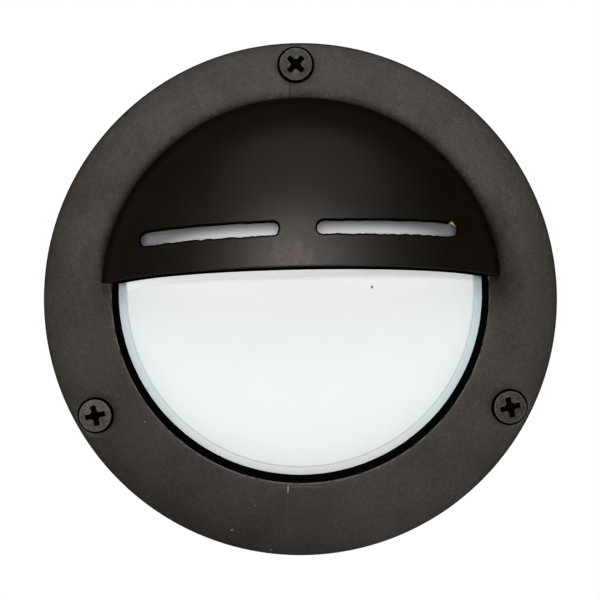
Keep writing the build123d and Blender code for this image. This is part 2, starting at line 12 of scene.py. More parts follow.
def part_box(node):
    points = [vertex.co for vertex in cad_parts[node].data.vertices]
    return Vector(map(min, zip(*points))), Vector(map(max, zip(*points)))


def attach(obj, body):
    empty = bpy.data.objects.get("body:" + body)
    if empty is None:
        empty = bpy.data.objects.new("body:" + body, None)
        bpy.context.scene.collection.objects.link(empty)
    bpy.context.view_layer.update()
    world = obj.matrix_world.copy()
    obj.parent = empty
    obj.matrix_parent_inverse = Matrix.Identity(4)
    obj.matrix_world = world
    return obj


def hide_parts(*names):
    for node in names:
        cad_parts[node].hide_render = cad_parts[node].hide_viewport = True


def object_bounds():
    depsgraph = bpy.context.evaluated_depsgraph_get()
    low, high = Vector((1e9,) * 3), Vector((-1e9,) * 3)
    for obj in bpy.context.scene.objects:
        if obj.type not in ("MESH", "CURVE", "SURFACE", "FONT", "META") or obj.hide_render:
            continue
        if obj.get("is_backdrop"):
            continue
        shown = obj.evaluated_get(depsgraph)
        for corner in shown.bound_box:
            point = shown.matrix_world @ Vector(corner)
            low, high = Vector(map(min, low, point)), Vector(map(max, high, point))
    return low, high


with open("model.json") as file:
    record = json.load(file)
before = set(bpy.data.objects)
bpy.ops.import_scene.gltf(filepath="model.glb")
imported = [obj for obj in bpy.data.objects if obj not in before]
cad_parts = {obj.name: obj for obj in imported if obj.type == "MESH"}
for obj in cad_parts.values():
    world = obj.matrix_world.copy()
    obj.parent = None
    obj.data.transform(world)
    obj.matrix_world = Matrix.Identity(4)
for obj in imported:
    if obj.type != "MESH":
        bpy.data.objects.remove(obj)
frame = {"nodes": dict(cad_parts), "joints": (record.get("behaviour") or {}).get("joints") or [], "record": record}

bl_info = {
    "name": "Hooded Wall Light",
    "version": (1, 0, 0),
    "blender": (4, 5, 0),
    "location": "3D View > Sidebar > Wall Light",
    "description": "Finishes a round, hooded wall light around its solid model",
    "category": "Object",
}

# X is to the right, Z is up and the wall is the plane Y = 0. "out" is a distance from the wall,
# towards -Y. Angles round the Y axis run clockwise from 12 o'clock, as seen from the front.
MM = 0.001
SOLID_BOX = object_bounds()
RING_LOW, RING_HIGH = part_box("face_ring")
LENS_LOW, LENS_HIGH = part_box("lens")
RIM_THICKNESS = 4.7  # mm
SCREW_PLACES = {joint["child"]: Vector(joint["pos_m"])
                for joint in frame["joints"] if joint["type"] == "hinge"}
NODE_SLOTS = {part["node"]: part["material_slot"] for part in frame["record"]["subparts"]}


# Settings
def length(mm, description):
    return FloatProperty(description=description, default=mm * MM, unit="LENGTH", precision=5)


def angle(degrees, description):
    return FloatProperty(description=description, default=math.radians(degrees), subtype="ANGLE")


def colour(red, green, blue, description):
    return FloatVectorProperty(description=description, default=(red, green, blue), subtype="COLOR",
                               size=3, min=0.0, max=1.0)


def named(group):
    """Gives each setting of a group its name, after its field."""
    for field, setting in group.__annotations__.items():
        setting.keywords["name"] = field.replace("_", " ").capitalize()
    return group


@named
class FaceSizes(bpy.types.PropertyGroup):
    """Sizes of the face ring"""
    ring_diameter: length((RING_HIGH.x - RING_LOW.x) / MM, "Outside diameter of the ring")
    ring_back: length(-RING_HIGH.y / MM, "Distance of the ring's back from the wall")
    rim_thickness: length(RIM_THICKNESS, "Thickness of the ring at its rim")
    rim_round: length(0.35, "Rounding of the rim's front edge")
    rim_fade: length(6.0, "Width of the soft fall of the face towards the rim")
    rim_fall: length(0.3, "Depth of the soft fall of the face towards the rim")
    rim_draft: length(0.25, "Taper of the rim towards the back")
    lip_rise: length((RING_HIGH.y - RING_LOW.y) / MM - RIM_THICKNESS, "Rise of the face from rim to lip")
    lip_round: length(0.35, "Rounding of the lip round the opening")
    lip_thickness: length(2.0, "Thickness of the lip in front of the seal")
    opening_diameter: length(83.8, "Diameter of the opening for the lens")
    opening_up: length(1.15, "Height of the opening's centre over the ring's")
    pocket_diameter: length(92.0, "Diameter of the pocket behind the lip")
    edge_round: length(0.2, "Rounding of the ring's other edges")
    head_hole: length(8.0, "Width of the holes for the screw heads")
    hole_inset: length(0.18, "Shift of the head holes towards the ring's middle")
    head_sink: length(0.4, "Depth of the straight part of the head holes")
    shank_hole: length(4.5, "Width of the holes for the screw shanks")
    keeper_hole: length(6.6, "Width of the recesses for the keepers at the back")
    keeper_depth: length(0.8, "Depth of the recesses for the keepers at the back")


@named
class HoodSizes(bpy.types.PropertyGroup):
    """Sizes of the hood"""
    diameter: length(89.1, "Diameter of the dome at its foot")
    centre_up: length(0.4, "Height of the dome's centre over the ring's")
    centre_aside: length(0.2, "Shift of the dome's centre to the right")
    depth: length(15.5, "Depth of the dome from the ring")
    wall: length(2.9, "Thickness of the dome")
    edge_up: length(3.15, "Height of the lower edge over the dome's centre, at the ring")
    edge_tilt: angle(17.5, "Rise of the lower edge towards the front")
    edge_round: length(0.25, "Rounding of the edges")
    corner_round: length(3.4, "Width of the rounding at the two lower corners")
    corner_rise: length(1.2, "Height of the rounding at the two lower corners")
    foot_gap: length(0.05, "Gap between the foot and the ring")
    slot_height: length(2.95, "Height of a slot")
    slot_length: length(30.6, "Length of a slot")
    slot_bridge: length(8.4, "Metal between the two slots")
    slot_aside: length(-0.4, "Shift of both slots to the right of the dome's centre")
    slot_up: length(8.43, "Distance of the slots from the lower edge")
    slot_tilt: angle(0.5, "Rise of the slots towards the right")
    slot_slant: length(0.4, "Rise of the slots from the outside to the inside")
    slot_burr: length(0.2, "Unevenness of the slots' lower edges")
    bead_foot: length(2.7, "Width of the braze fillet on the ring")
    bead_rise: length(0.55, "Height of the braze fillet on the hood")
    bead_lumps: length(0.1, "Height of the lumps in the braze fillet")
    bead_lump_angle: angle(1.2, "Length of a lump along the arc")


@named
class LensSizes(bpy.types.PropertyGroup):
    """Sizes of the lens and its seal"""
    flange_diameter: length((LENS_HIGH.x - LENS_LOW.x) / MM, "Outside diameter of the lens")
    back: length(-LENS_HIGH.y / MM, "Distance of the back of the lens from the wall")
    front: length(-LENS_LOW.y / MM, "Distance of the front of the lens from the wall")
    step_height: length(1.4, "Height of the raised part of the lens")
    step_diameter: length(82.0, "Diameter at the foot of the raised part")
    bevel_drop: length(0.55, "Fall of the bevel from the flat front to the step")
    face_diameter: length(78.0, "Diameter of the flat front")
    face_round: length(0.3, "Rounding at the edge of the flat front")
    seal_sight: length(81.2, "Inside diameter of the seal at the lens")
    seal_lift: length(1.05, "Height of the seal's lip over the foot of the raised part")
    # The sleeve is a thin dark lining of the ring's bore that stands in for the bore's shade
    seal_sleeve: length(0.12, "Thickness of the seal inside the lip")


@named
class ScrewSizes(bpy.types.PropertyGroup):
    """Sizes of the three cover screws"""
    head_diameter: length(7.2, "Diameter of the countersunk head")
    head_land: length(0.3, "Height of the head's straight edge")
    head_crown: length(0.12, "Rise of the head's top towards the recess")
    shank_diameter: length(4.0, "Outside diameter of the thread")
    thread_depth: length(0.42, "Depth of the thread")
    thread_pitch: length(0.7, "Distance from turn to turn")
    cross_span: length(4.4, "Width across the cross recess")
    cross_width: length(1.2, "Width of an arm of the cross")
    cross_depth: length(1.9, "Depth of the cross recess")


@named
class InnerSizes(bpy.types.PropertyGroup):
    """Sizes of the small pieces inside"""
    slot_width: length(0.7, "Width of the slots in the small screws")
    slot_depth: length(0.75, "Depth of the slots in the small screws")
    clip_width: length(8.0, "Width of a lens clip")
    clip_thickness: length(0.8, "Thickness of a lens clip")
    clip_toe: length(43.5, "Distance of the clip's toe from the middle of the lens")
    clip_riser: length(46.7, "Distance of the clip's upright from the middle of the lens")
    clip_foot: length(51.9, "Distance of the clip's foot end from the middle of the lens")
    clip_bend: length(0.9, "Rounding of the clip's bends")
    keeper_gap: length(0.5, "Depth of the gaps between a keeper's teeth")
    keeper_bore: length(4.1, "Diameter between a keeper's teeth")
    keeper_teeth: IntProperty(description="Number of teeth on a keeper", default=6)
    chip_frame: length(0.32, "Width of the case round the window of a light-emitting chip")
    chip_sink: length(0.12, "Depth of the window of a light-emitting chip")


@named
class StageSettings(bpy.types.PropertyGroup):
    """Camera, floor and room"""
    camera_distance: length(900, "Distance of the camera from the ring")
    camera_elevation: angle(3.5, "Height of the camera over the ring's axis")
    camera_roll: angle(1.15, "Turn of the picture, anticlockwise")
    floor_down: length(420, "Distance of the floor below the light's centre")
    floor_back: length(2400, "Distance of the floor's far edge behind the wall plane")
    floor_colour: colour(0.8, 0.8, 0.79, "Colour of the floor")
    floor_second: colour(0.77, 0.77, 0.76, "Colour of the floor's patches")
    floor_glow: FloatProperty(description="Paleness of the floor in a picture", default=0.3)
    room_left: colour(0.24, 0.223, 0.195, "Colour of the room to the left")
    room_right: colour(0.135, 0.125, 0.11, "Colour of the room to the right")
    room_back: colour(0.2, 0.19, 0.17, "Light of the room behind the light")
    room_white: colour(1.0, 1.0, 1.0, "Colour of the room behind the light in a picture")


@named
class FinishColours(bpy.types.PropertyGroup):
    """Colours of the finishes"""
    bronze: colour(0.003, 0.0021, 0.0007, "Patina on ring and hood")
    bronze_thin: colour(0.0042, 0.003, 0.0013, "Patina where it is thinner")
    # Rubbed edges, lightened as a painted highlight
    bronze_rubbed: colour(0.12, 0.11, 0.097, "Patina on rubbed edges")
    bronze_sheen: colour(1.0, 0.93, 0.85, "Tint of the light on the patina")
    bronze_red: colour(1.0, 0.87, 0.81, "Tint of the light on redder patches")
    bare_bronze: colour(0.8, 0.62, 0.36, "Metal where the patina has come off")
    screw: colour(0.012, 0.0075, 0.0045, "Patina on the screws")
    # Worn edges of the screws, lightened as a painted highlight
    screw_edge: colour(0.42, 0.38, 0.33, "Bare metal on the screws' edges")
    # Also painted highlights along a dent and on a small ridge of the ring
    scratch: colour(0.45, 0.36, 0.27, "Bare metal in a scratch")
    # Also painted shade: in recesses, on the hood's lower edge face and slot walls, and under the hood's corners
    dirt: colour(0.002, 0.0016, 0.001, "Dirt in recesses, seams and specks")
    rubber: colour(0.0022, 0.0024, 0.0028, "Seals")
    rubber_bloom: colour(0.004, 0.0042, 0.005, "Dry patches on the seals")
    glass: colour(0.865, 0.91, 0.93, "Front of the lens")
    glass_thick: colour(0.85, 0.9, 0.925, "Front of the lens where the frost is thicker")
    # Painted light: the lens lighter and bluer towards the hood, against the hood's shadow and the warm room
    glass_top: colour(0.96, 0.99, 1.0, "Front of the lens below the hood")
    # Painted shade on the lens behind the hood
    glass_dust: colour(0.035, 0.05, 0.06, "Dust on the lens behind the hood")
    glass_rim: colour(0.83, 0.9, 0.93, "Front of the lens near its edge")
    # Also painted shade on the top of the bevel, below the hood
    glass_line: colour(0.4, 0.46, 0.48, "Line round the flat front")
    # Also lightened against the lip's shade, and the colour of the painted glow below the hood
    glass_edge: colour(0.92, 1.0, 1.0, "Lens at its rim, and stray light in it")
    glass_side: colour(0.77, 0.88, 0.92, "Lens at its rim on both sides")
    foam: colour(0.036, 0.036, 0.039, "Foam between the drum and the wall")
    foam_cell: colour(0.008, 0.008, 0.009, "Pits in the foam")
    chip_case: colour(0.8, 0.8, 0.78, "Case of the light-emitting chips")
    phosphor: colour(0.82, 0.62, 0.12, "Window of the light-emitting chips")
    phosphor_thick: colour(0.86, 0.55, 0.07, "Window where the phosphor is thicker")


# Points, loops and faces
def face_out(face, radius):
    """Height of the ring's sloping front, with its rounded rim, at a distance from its axis."""
    rim = face.ring_diameter / 2
    slope = face.lip_rise / (rim - face.opening_diameter / 2)
    past = max(0.0, radius - rim + face.rim_round)
    drop = face.rim_round - math.sqrt(max(0.0, face.rim_round ** 2 - past ** 2))
    fade = max(0.0, (radius - rim) / face.rim_fade + 1)
    return (face.ring_back + face.rim_thickness + slope * (rim - radius)
            - face.rim_fall * fade ** 2 - drop)


def on_face(face, x, z, drop=0.0):
    """Point of the ring's front, or a drop behind it."""
    return Vector((x, drop - face_out(face, math.hypot(x, z)), z))


def lip_back(face):
    """Distance of the back of the ring's lip from the wall."""
    return face.ring_back + face.rim_thickness + face.lip_rise - face.lip_thickness


def from_front(point):
    """Place of a point as it is seen from the front."""
    return point.x, point.z


def circle(radius, out, count, centre=(0.0, 0.0)):
    turns = [2 * math.pi * i / count for i in range(count)]
    return [Vector((centre[0] + radius * math.sin(a), -out, centre[1] + radius * math.cos(a)))
            for a in turns]


def bend(start, corner, end, steps=3):
    """Points of a rounded corner, from start to end."""
    shares = [i / steps for i in range(steps + 1)]
    return [(1 - t) ** 2 * start + 2 * t * (1 - t) * corner + t * t * end for t in shares]


def soften(corners, closed=True):
    """Outline of (radius, out) points from (radius, out, rounding) corners."""
    outline = []
    spots = [Vector(corner[:2]) for corner in corners]
    for i, (spot, corner) in enumerate(zip(spots, corners)):
        at_end = not closed and i in (0, len(spots) - 1)
        if at_end or corner[2] == 0:
            outline.append(spot)
            continue
        before = (spots[i - 1] - spot).normalized() * corner[2]
        after = (spots[(i + 1) % len(spots)] - spot).normalized() * corner[2]
        outline.extend(bend(spot + before, spot, spot + after))
    return outline


def within(spots, loop):
    """Which of the (u, v) spots lie inside a closed (u, v) loop."""
    inside = np.zeros(len(spots), bool)
    for (u0, v0), (u1, v1) in zip(loop, np.roll(loop, -1, axis=0)):
        crosses = (v0 > spots[:, 1]) != (v1 > spots[:, 1])
        rise = v1 - v0 if v1 != v0 else 1.0
        inside ^= crosses & (spots[:, 0] < u0 + (u1 - u0) * (spots[:, 1] - v0) / rise)
    return inside


def between(spots, loops):
    """Which of the (u, v) spots lie inside the first loop and outside the others."""
    keep = within(spots, loops[0])
    for hole in loops[1:]:
        keep &= ~within(spots, hole)
    return keep


def sown(low, high, spacing):
    """Evenly spread (u, v) spots in a box, in staggered rows."""
    spots = []
    row_step = 0.866
    rows = int((high[1] - low[1]) / (spacing * row_step)) + 1
    columns = int((high[0] - low[0]) / spacing) + 1
    for row in range(rows):
        shift = spacing / 2 * (row % 2)
        spots.extend((low[0] + shift + column * spacing, low[1] + row * spacing * row_step)
                     for column in range(columns))
    return np.array(spots)


class Skin:
    """Points and faces of a piece while it is made."""

    # Least distance of a given and of a sown point from the others, as shares of the spacing
    given_room, sown_room = 0.1, 0.55
    same_mm, same_m = 1e-5, 1e-7

    def __init__(self):
        self.points = []
        self.faces = []
        self.worn = []

    def add(self, points, worn=0.0):
        first = len(self.points)
        self.points.extend(Vector(point) for point in points)
        self.worn.extend([worn] * (len(self.points) - first))
        return list(range(first, len(self.points)))

    def level(self, spots, out, worn=0.0):
        """A loop of (across, up) spots at one distance from the wall."""
        return self.add([(u, -out, v) for u, v in spots], worn)

    def bend(self, starts, corners, ends, wear_and_shade_rows):
        """Loops round a rounded corner, one for each wear-and-shade value."""
        rows = zip(*[bend(*trio, len(wear_and_shade_rows) - 1) for trio in zip(starts, corners, ends)])
        return [self.add(row, worn) for row, worn in zip(rows, wear_and_shade_rows)]

    def bridge(self, *loops):
        """Quads from loop to loop."""
        for near, far in zip(loops, loops[1:]):
            for i in range(len(near)):
                j = (i + 1) % len(near)
                self.faces.append((near[i], near[j], far[j], far[i]))

    def fan(self, loop, tip, worn=0.0):
        tip = self.add([tip], worn)[0]
        for i, corner in enumerate(loop):
            self.faces.append((corner, loop[(i + 1) % len(loop)], tip))

    def sheet(self, loops, flatten, place, spacing, extra=()):
        """Triangles inside the first loop and outside the others.

        flatten turns a point into (u, v), and place turns (u, v) into a point.
        """
        flat_loops = [np.array([flatten(self.points[i]) for i in loop]) / MM for loop in loops]
        corners = np.concatenate(flat_loops)
        groups = [(sown(corners.min(0), corners.max(0), spacing / MM), self.sown_room)]
        if len(extra):
            groups.insert(0, (np.array(extra) / MM, self.given_room))
        spots = []
        for group, room in groups:
            keep = between(group, flat_loops)
            others = np.concatenate([corners, *spots])
            for i in np.flatnonzero(keep):
                keep[i] = np.min(np.sum((others - group[i]) ** 2, axis=1)) > (room * spacing / MM) ** 2
            spots.append(group[keep])
        flat = np.concatenate([corners, *spots])
        edges = []
        for flat_loop in flat_loops:
            first, count = len(edges), len(flat_loop)
            edges.extend((first + i, first + (i + 1) % count) for i in range(count))
        verts, _, faces, origins, *_ = delaunay_2d_cdt([Vector(spot) for spot in flat], edges, [], 0,
                                                       self.same_mm)
        numbers = [i for loop in loops for i in loop]
        numbers += self.add(place(u * MM, v * MM) for u, v in flat[len(corners):])
        ids = [numbers[origin[0]] for origin in origins]
        middles = np.array([sum((verts[i] for i in face), Vector((0, 0))) / 3 for face in faces])
        kept = between(middles, flat_loops)
        self.faces.extend(tuple(ids[i] for i in face) for face, keep in zip(faces, kept) if keep)

    def turn(self, outline, count, centre=(0.0, 0.0), closed=True):
        """Faces turned about the Y axis, or a line beside it, from a (radius, out) outline."""
        loops = [self.add(circle(radius, out, count, centre)) for radius, out in outline]
        self.bridge(*loops)
        if closed:
            self.bridge(loops[-1], loops[0])
        return loops

    def mesh(self, name, sharp=180.0):
        """The mesh, smooth where its faces meet at less than the sharp angle."""
        mesh = bpy.data.meshes.new(name)
        mesh.from_pydata(self.points, [], self.faces)
        worn = mesh.attributes.new("worn", "FLOAT", "POINT")
        worn.data.foreach_set("value", self.worn)
        shaped = bmesh.new()
        shaped.from_mesh(mesh)
        bmesh.ops.remove_doubles(shaped, verts=shaped.verts, dist=self.same_m)
        bmesh.ops.recalc_face_normals(shaped, faces=shaped.faces)
        shaped.to_mesh(mesh)
        shaped.free()
        mesh.shade_smooth()
        mesh.set_sharp_from_angle(angle=math.radians(sharp))
        return mesh


def piece(name, mesh, finish, body, slot, *nodes):
    """Puts a finished mesh on its body in place of its solids."""
    made = bpy.data.objects.new(name, mesh)
    bpy.context.scene.collection.objects.link(made)
    mesh.materials.clear()
    mesh.materials.append(finish)
    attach(made, body)
    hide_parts(*nodes)


# Node trees
def reckoned(operation, swapped=False):
    """A method of a value that adds a Math node."""
    def method(self, other=0.0):
        return self.nodes.math(operation, *((other, self) if swapped else (self, other)))
    return method


class Value:
    """The output of a node, to reckon with."""

    def __init__(self, nodes, socket):
        self.nodes = nodes
        self.socket = socket

    __add__ = reckoned("ADD")
    __sub__, __rsub__ = reckoned("SUBTRACT"), reckoned("SUBTRACT", swapped=True)
    __mul__ = reckoned("MULTIPLY")
    __truediv__, __rtruediv__ = reckoned("DIVIDE"), reckoned("DIVIDE", swapped=True)
    __pow__ = reckoned("POWER")
    __abs__ = reckoned("ABSOLUTE")

    def hypot(self, other):
        return self.nodes.math("SQRT", self * self + other * other)

    def ramp(self, low, high, to_low=0.0, to_high=1.0):
        """A soft step from to_low, where the value is low, to to_high, where it is high."""
        inputs = {"Value": self, "From Min": low, "From Max": high, "To Min": to_low, "To Max": to_high}
        return self.nodes.get("ShaderNodeMapRange", inputs, interpolation_type="SMOOTHSTEP")

    def mix(self, first, second):
        """The first colour where the value is 0, the second where it is 1."""
        share, colour_a, colour_b, mixed = 0, 6, 7, 2  # the Mix node's sockets for colours
        inputs = {share: self, colour_a: first, colour_b: second}
        return self.nodes.get("ShaderNodeMix", inputs, mixed, data_type="RGBA")


class Nodes:
    """Nodes and links of a tree while it is made."""

    def __init__(self, tree):
        self.nodes = tree.nodes
        self.links = tree.links

    def put(self, socket, value):
        if isinstance(value, Value):
            self.links.new(value.socket, socket)
        elif socket.type == "RGBA" and len(value) == 3:
            socket.default_value = (*value, 1.0)
        else:
            socket.default_value = value

    def add(self, kind, inputs=(), **settings):
        node = self.nodes.new(kind)
        for setting, value in settings.items():
            setattr(node, setting, value)
        for socket, value in dict(inputs).items():
            self.put(node.inputs[socket], value)
        return node

    def get(self, kind, inputs=(), output=0, **settings):
        return Value(self, self.add(kind, inputs, **settings).outputs[output])

    def math(self, operation, first, second=0.0):
        return self.get("ShaderNodeMath", {0: first, 1: second}, operation=operation)

    def split(self, vector):
        return [Value(self, part) for part in self.add("ShaderNodeSeparateXYZ", {0: vector}).outputs]

    def join(self, *parts):
        return self.get("ShaderNodeCombineXYZ", dict(enumerate(parts)))


class Finish(Nodes):
    """A material whose look comes from nodes on the piece's own coordinates."""

    def __init__(self, name, constants):
        self.material = bpy.data.materials.new(name)
        self.material.use_nodes = True
        super().__init__(self.material.node_tree)
        self.shader = self.nodes["Principled BSDF"]
        self.here = self.get("ShaderNodeTexCoord", output="Object")
        for socket, value in constants.items():
            self.put(self.shader.inputs[socket], value)

    def shape(self, **inputs):
        """The material, with values that change over the surface."""
        for socket, value in inputs.items():
            self.put(self.shader.inputs[socket.replace("_", " ")], value)
        return self.material

    def grain(self, size, detail=3.0, roughness=0.55):
        """Noise from 0 to 1 whose patches are about one size wide, in mm."""
        inputs = {"Vector": self.here, "Scale": 1.0 / (size * MM), "Detail": detail,
                  "Roughness": roughness}
        return self.get("ShaderNodeTexNoise", inputs)

    def bump(self, height, depth, under=None):
        """Relief of a depth in mm, on top of the one under it."""
        inputs = {"Height": height, "Distance": depth * MM, "Strength": 1.0}
        if under:
            inputs["Normal"] = under
        return self.get("ShaderNodeBump", inputs)

    def stroke(self, x, z, half_width, half_length, turn):
        """1 along a short stroke seen from the front, falling to 0 at its sides and ends, in mm."""
        place = {"Vector": self.here, "Location": (x * MM, 0.0, z * MM),
                 "Rotation": (0.0, math.radians(turn), 0.0)}
        across, _, along = self.split(self.get("ShaderNodeMapping", place, vector_type="TEXTURE"))
        half_width, half_length = half_width * MM, half_length * MM
        thin = abs(across).ramp(0.4 * half_width, half_width, 1.0, 0.0)
        return thin * abs(along).ramp(0.3 * half_length, half_length, 1.0, 0.0)

    def worn(self):
        """The piece's own wear and painted shade: 1 is a rubbed edge, lightened as a painted highlight, -1 a
        corner or recess painted in shade.
        """
        return self.get("ShaderNodeAttribute", output="Fac", attribute_name="worn")

    def clean(self):
        """0 in corners and recesses painted in shade, 1 elsewhere."""
        return self.worn().ramp(-0.9, -0.1)


# Dullness and sheen of the ring, and of other pieces with the ring's finish
CAST_LOOK, PLAIN_CAST_LOOK = (0.53, 0.44), (0.53, 0.46)
# Marks: x, z, half width and half length in mm, turn in degrees, colour, strength
CASTING_SEAM = (-1.4, 46.8, 0.16, 2.2, 2.0, "dirt", 0.7)
RING_MARKS = (
    (-35.2, -26.3, 0.25, 0.25, 0.0, "scratch", 0.32),
    (-16.3, -51.0, 0.25, 0.5, 70.0, "scratch", 0.27),
    (-11.1, -45.6, 0.2, 0.2, 0.0, "scratch", 0.27),
    (-7.7, -55.7, 0.25, 0.25, 0.0, "scratch", 0.27),
    (-3.6, -42.0, 0.13, 1.2, 3.0, "scratch", 1.0),
    (-3.9, -46.0, 0.12, 5.0, 3.0, "scratch", 0.05),
    # Painted highlight along a dent by the lip
    (1.0, -41.6, 0.3, 5.0, 93.0, "scratch", 0.06),
    # Painted highlights on a small cast ridge
    (-22.6, 43.6, 0.14, 0.5, 68.0, "scratch", 0.17),
    (-21.0, 43.8, 0.14, 0.6, 65.0, "scratch", 0.14),
    (27.9, 41.4, 0.35, 0.4, 0.0, "dirt", 0.3),
    (-9.3, 48.9, 0.25, 0.3, 0.0, "dirt", 0.4),
    # Painted shadows under the hood's two lower corners
    (-43.2, 3.3, 1.0, 1.6, -12.0, "dirt", 0.35),
    (43.3, 4.1, 0.9, 1.9, 62.0, "dirt", 0.55),
    CASTING_SEAM,
)
HOOD_MARKS = ((33.7, 16.4, 0.6, 1.0, -35.0, "bare_bronze", 1.0),)
LENS_SPECK = (16.05, 2.4, 0.35, 0.4, 20.0)


def dark_bronze(name, colours, dullness, sheen, marks=(), relief=1.0, painted_light=None):
    """Dark, waxed patina on bronze: faint clouds, fine grain, rubbed edges lightened as a painted highlight,
    painted shade in corners and recesses, and marks.

    The last argument adds the nodes that scale the sheen with painted light and shade.
    """
    finish = Finish(name, {"Specular IOR Level": sheen})
    clouds, pores, skin = finish.grain(9, 4.0), finish.grain(0.5, 2.0), finish.grain(1.6)
    glint = finish.grain(16).ramp(0.4, 0.65).mix(colours.bronze_sheen, colours.bronze_red)
    tone = clouds.ramp(0.3, 0.75).mix(colours.bronze, colours.bronze_thin)
    # Rubbed edges, lightened as a painted highlight
    rubbed_highlight = finish.worn().ramp(0.0, 1.0) * skin.ramp(0.3, 0.6)
    tone = rubbed_highlight.mix(tone, colours.bronze_rubbed)
    # Painted shade in corners and recesses
    clean = finish.clean()
    tone = clean.mix(colours.dirt, tone)
    for *place, stain, strength in marks:
        mark = finish.stroke(*place) * strength
        tone = mark.mix(tone, getattr(colours, stain))
        clean = clean * (1.0 - mark)
    uneven = clouds + pores + skin
    cast = finish.bump(finish.grain(8, 2.0), 0.02)
    orange_peel = finish.bump(skin, relief * 0.04, cast)
    gleam = clean * painted_light(finish) if painted_light else clean
    return finish.shape(Base_Color=tone, Specular_Tint=glint, Specular_IOR_Level=gleam * sheen,
                        Roughness=uneven.ramp(1.0, 2.0, dullness - 0.03, dullness + 0.03),
                        Normal=finish.bump(pores, relief * 0.025, orange_peel))


def ring_painted_light(finish):
    """Share of the sheen on the ring, with painted light and shade: a ragged painted shadow by the hood's foot,
    painted shade at the lower left rim and painted light towards the upper right.
    """
    face, hood = bpy.context.scene.light_face, bpy.context.scene.light_hood
    rim, foot = face.ring_diameter / 2, hood.diameter / 2
    x, _, z = finish.split(finish.here)
    across, up = x - hood.centre_aside, z - hood.centre_up
    from_foot = across.hypot(up) - foot
    along = finish.math("ARCTAN2", across, up) * foot
    # Painted shadow of the hood on the ring, in streaks away from the foot, widest at the lower right corner
    spot = finish.join(along / (0.9 * MM), from_foot / (3 * MM))
    streaks = finish.get("ShaderNodeTexNoise", {"Vector": spot, "Scale": 1.0, "Detail": 3.0})
    by_corner = (x - z).ramp(5 * MM, 40 * MM)
    reach = by_corner.ramp(0.0, 1.0, 3.2 * MM, 6.5 * MM)
    painted_hood_shadow = (from_foot / reach + (streaks - 0.5) * 0.6).ramp(0.0, 1.0, 1.0, 0.0)
    painted_hood_shadow = painted_hood_shadow * z.ramp(-8 * MM, 3 * MM) * by_corner.ramp(0.0, 1.0, 0.16, 0.6)
    # Painted shade close to the foot, with a ragged edge
    ragged_edge = (finish.grain(0.9, 4.0, 0.65) - 0.5) * 3.2
    painted_foot_shade = (from_foot / (1.7 * MM) + ragged_edge).ramp(0.1, 1.0, 0.32, 0.0) * z.ramp(0.0, 12 * MM)
    # Painted shade towards the rim at the lower left, and painted light towards the upper right
    away = x.hypot(z)
    lower_left = (x * -0.42 + z * -0.91) / away
    painted_rim_shade = lower_left.ramp(0.72, 1.0) * away.ramp(0.66 * rim, rim, 0.0, 0.38)
    upper_right = x * 0.87 + z * 0.5
    share = upper_right * (0.06 / rim) + 1.06
    for mottle in (finish.grain(11, 4.0), finish.grain(0.7)):
        share = share * mottle.ramp(0.3, 0.7, 0.9, 1.1)
    for loss in (painted_hood_shadow, painted_foot_shade, painted_rim_shade):
        share = share * (1.0 - loss)
    return share


def screw_bronze(name, colours):
    """Patina on turned screws, with rubbed edges lightened as a painted highlight, painted shade in the recess,
    and a painted sheen that is brighter at the left.
    """
    finish = Finish(name, {"Specular Tint": colours.bronze_sheen, "Specular IOR Level": 0.4})
    clouds = finish.grain(1.5)
    # Rubbed edges, lightened as a painted highlight
    edge = finish.worn().ramp(0.2, 1.0) * clouds.ramp(0.2, 0.6)
    clean = finish.clean()
    tone = clouds.ramp(0.35, 0.65).mix(colours.screw, colours.bronze_thin)
    tone = (edge * 0.22).mix(tone, colours.screw_edge)
    sheen = finish.grain(0.8, 4.0).ramp(0.3, 0.65, 0.34, 0.56)
    # Painted sheen, brighter on the left screw and darker on the right one
    painted_side_sheen = finish.split(finish.here)[0].ramp(-45 * MM, 45 * MM, 1.2, 0.7)
    return finish.shape(Base_Color=clean.mix(colours.dirt, tone),
                        Roughness=clouds.ramp(0.3, 0.7, 0.48, 0.58),
                        Normal=finish.bump(finish.grain(0.7), 0.03),
                        Specular_IOR_Level=clean * (sheen * painted_side_sheen))


def seal_rubber(name, colours):
    """Black rubber with a faint bloom."""
    finish = Finish(name, {"Specular IOR Level": 0.0})
    bloom = finish.grain(2.5, 5.0)
    return finish.shape(Base_Color=bloom.ramp(0.45, 0.75).mix(colours.rubber, colours.rubber_bloom),
                        Roughness=bloom.ramp(0.3, 0.7, 0.6, 0.8),
                        Normal=finish.bump(finish.grain(0.6), 0.02))


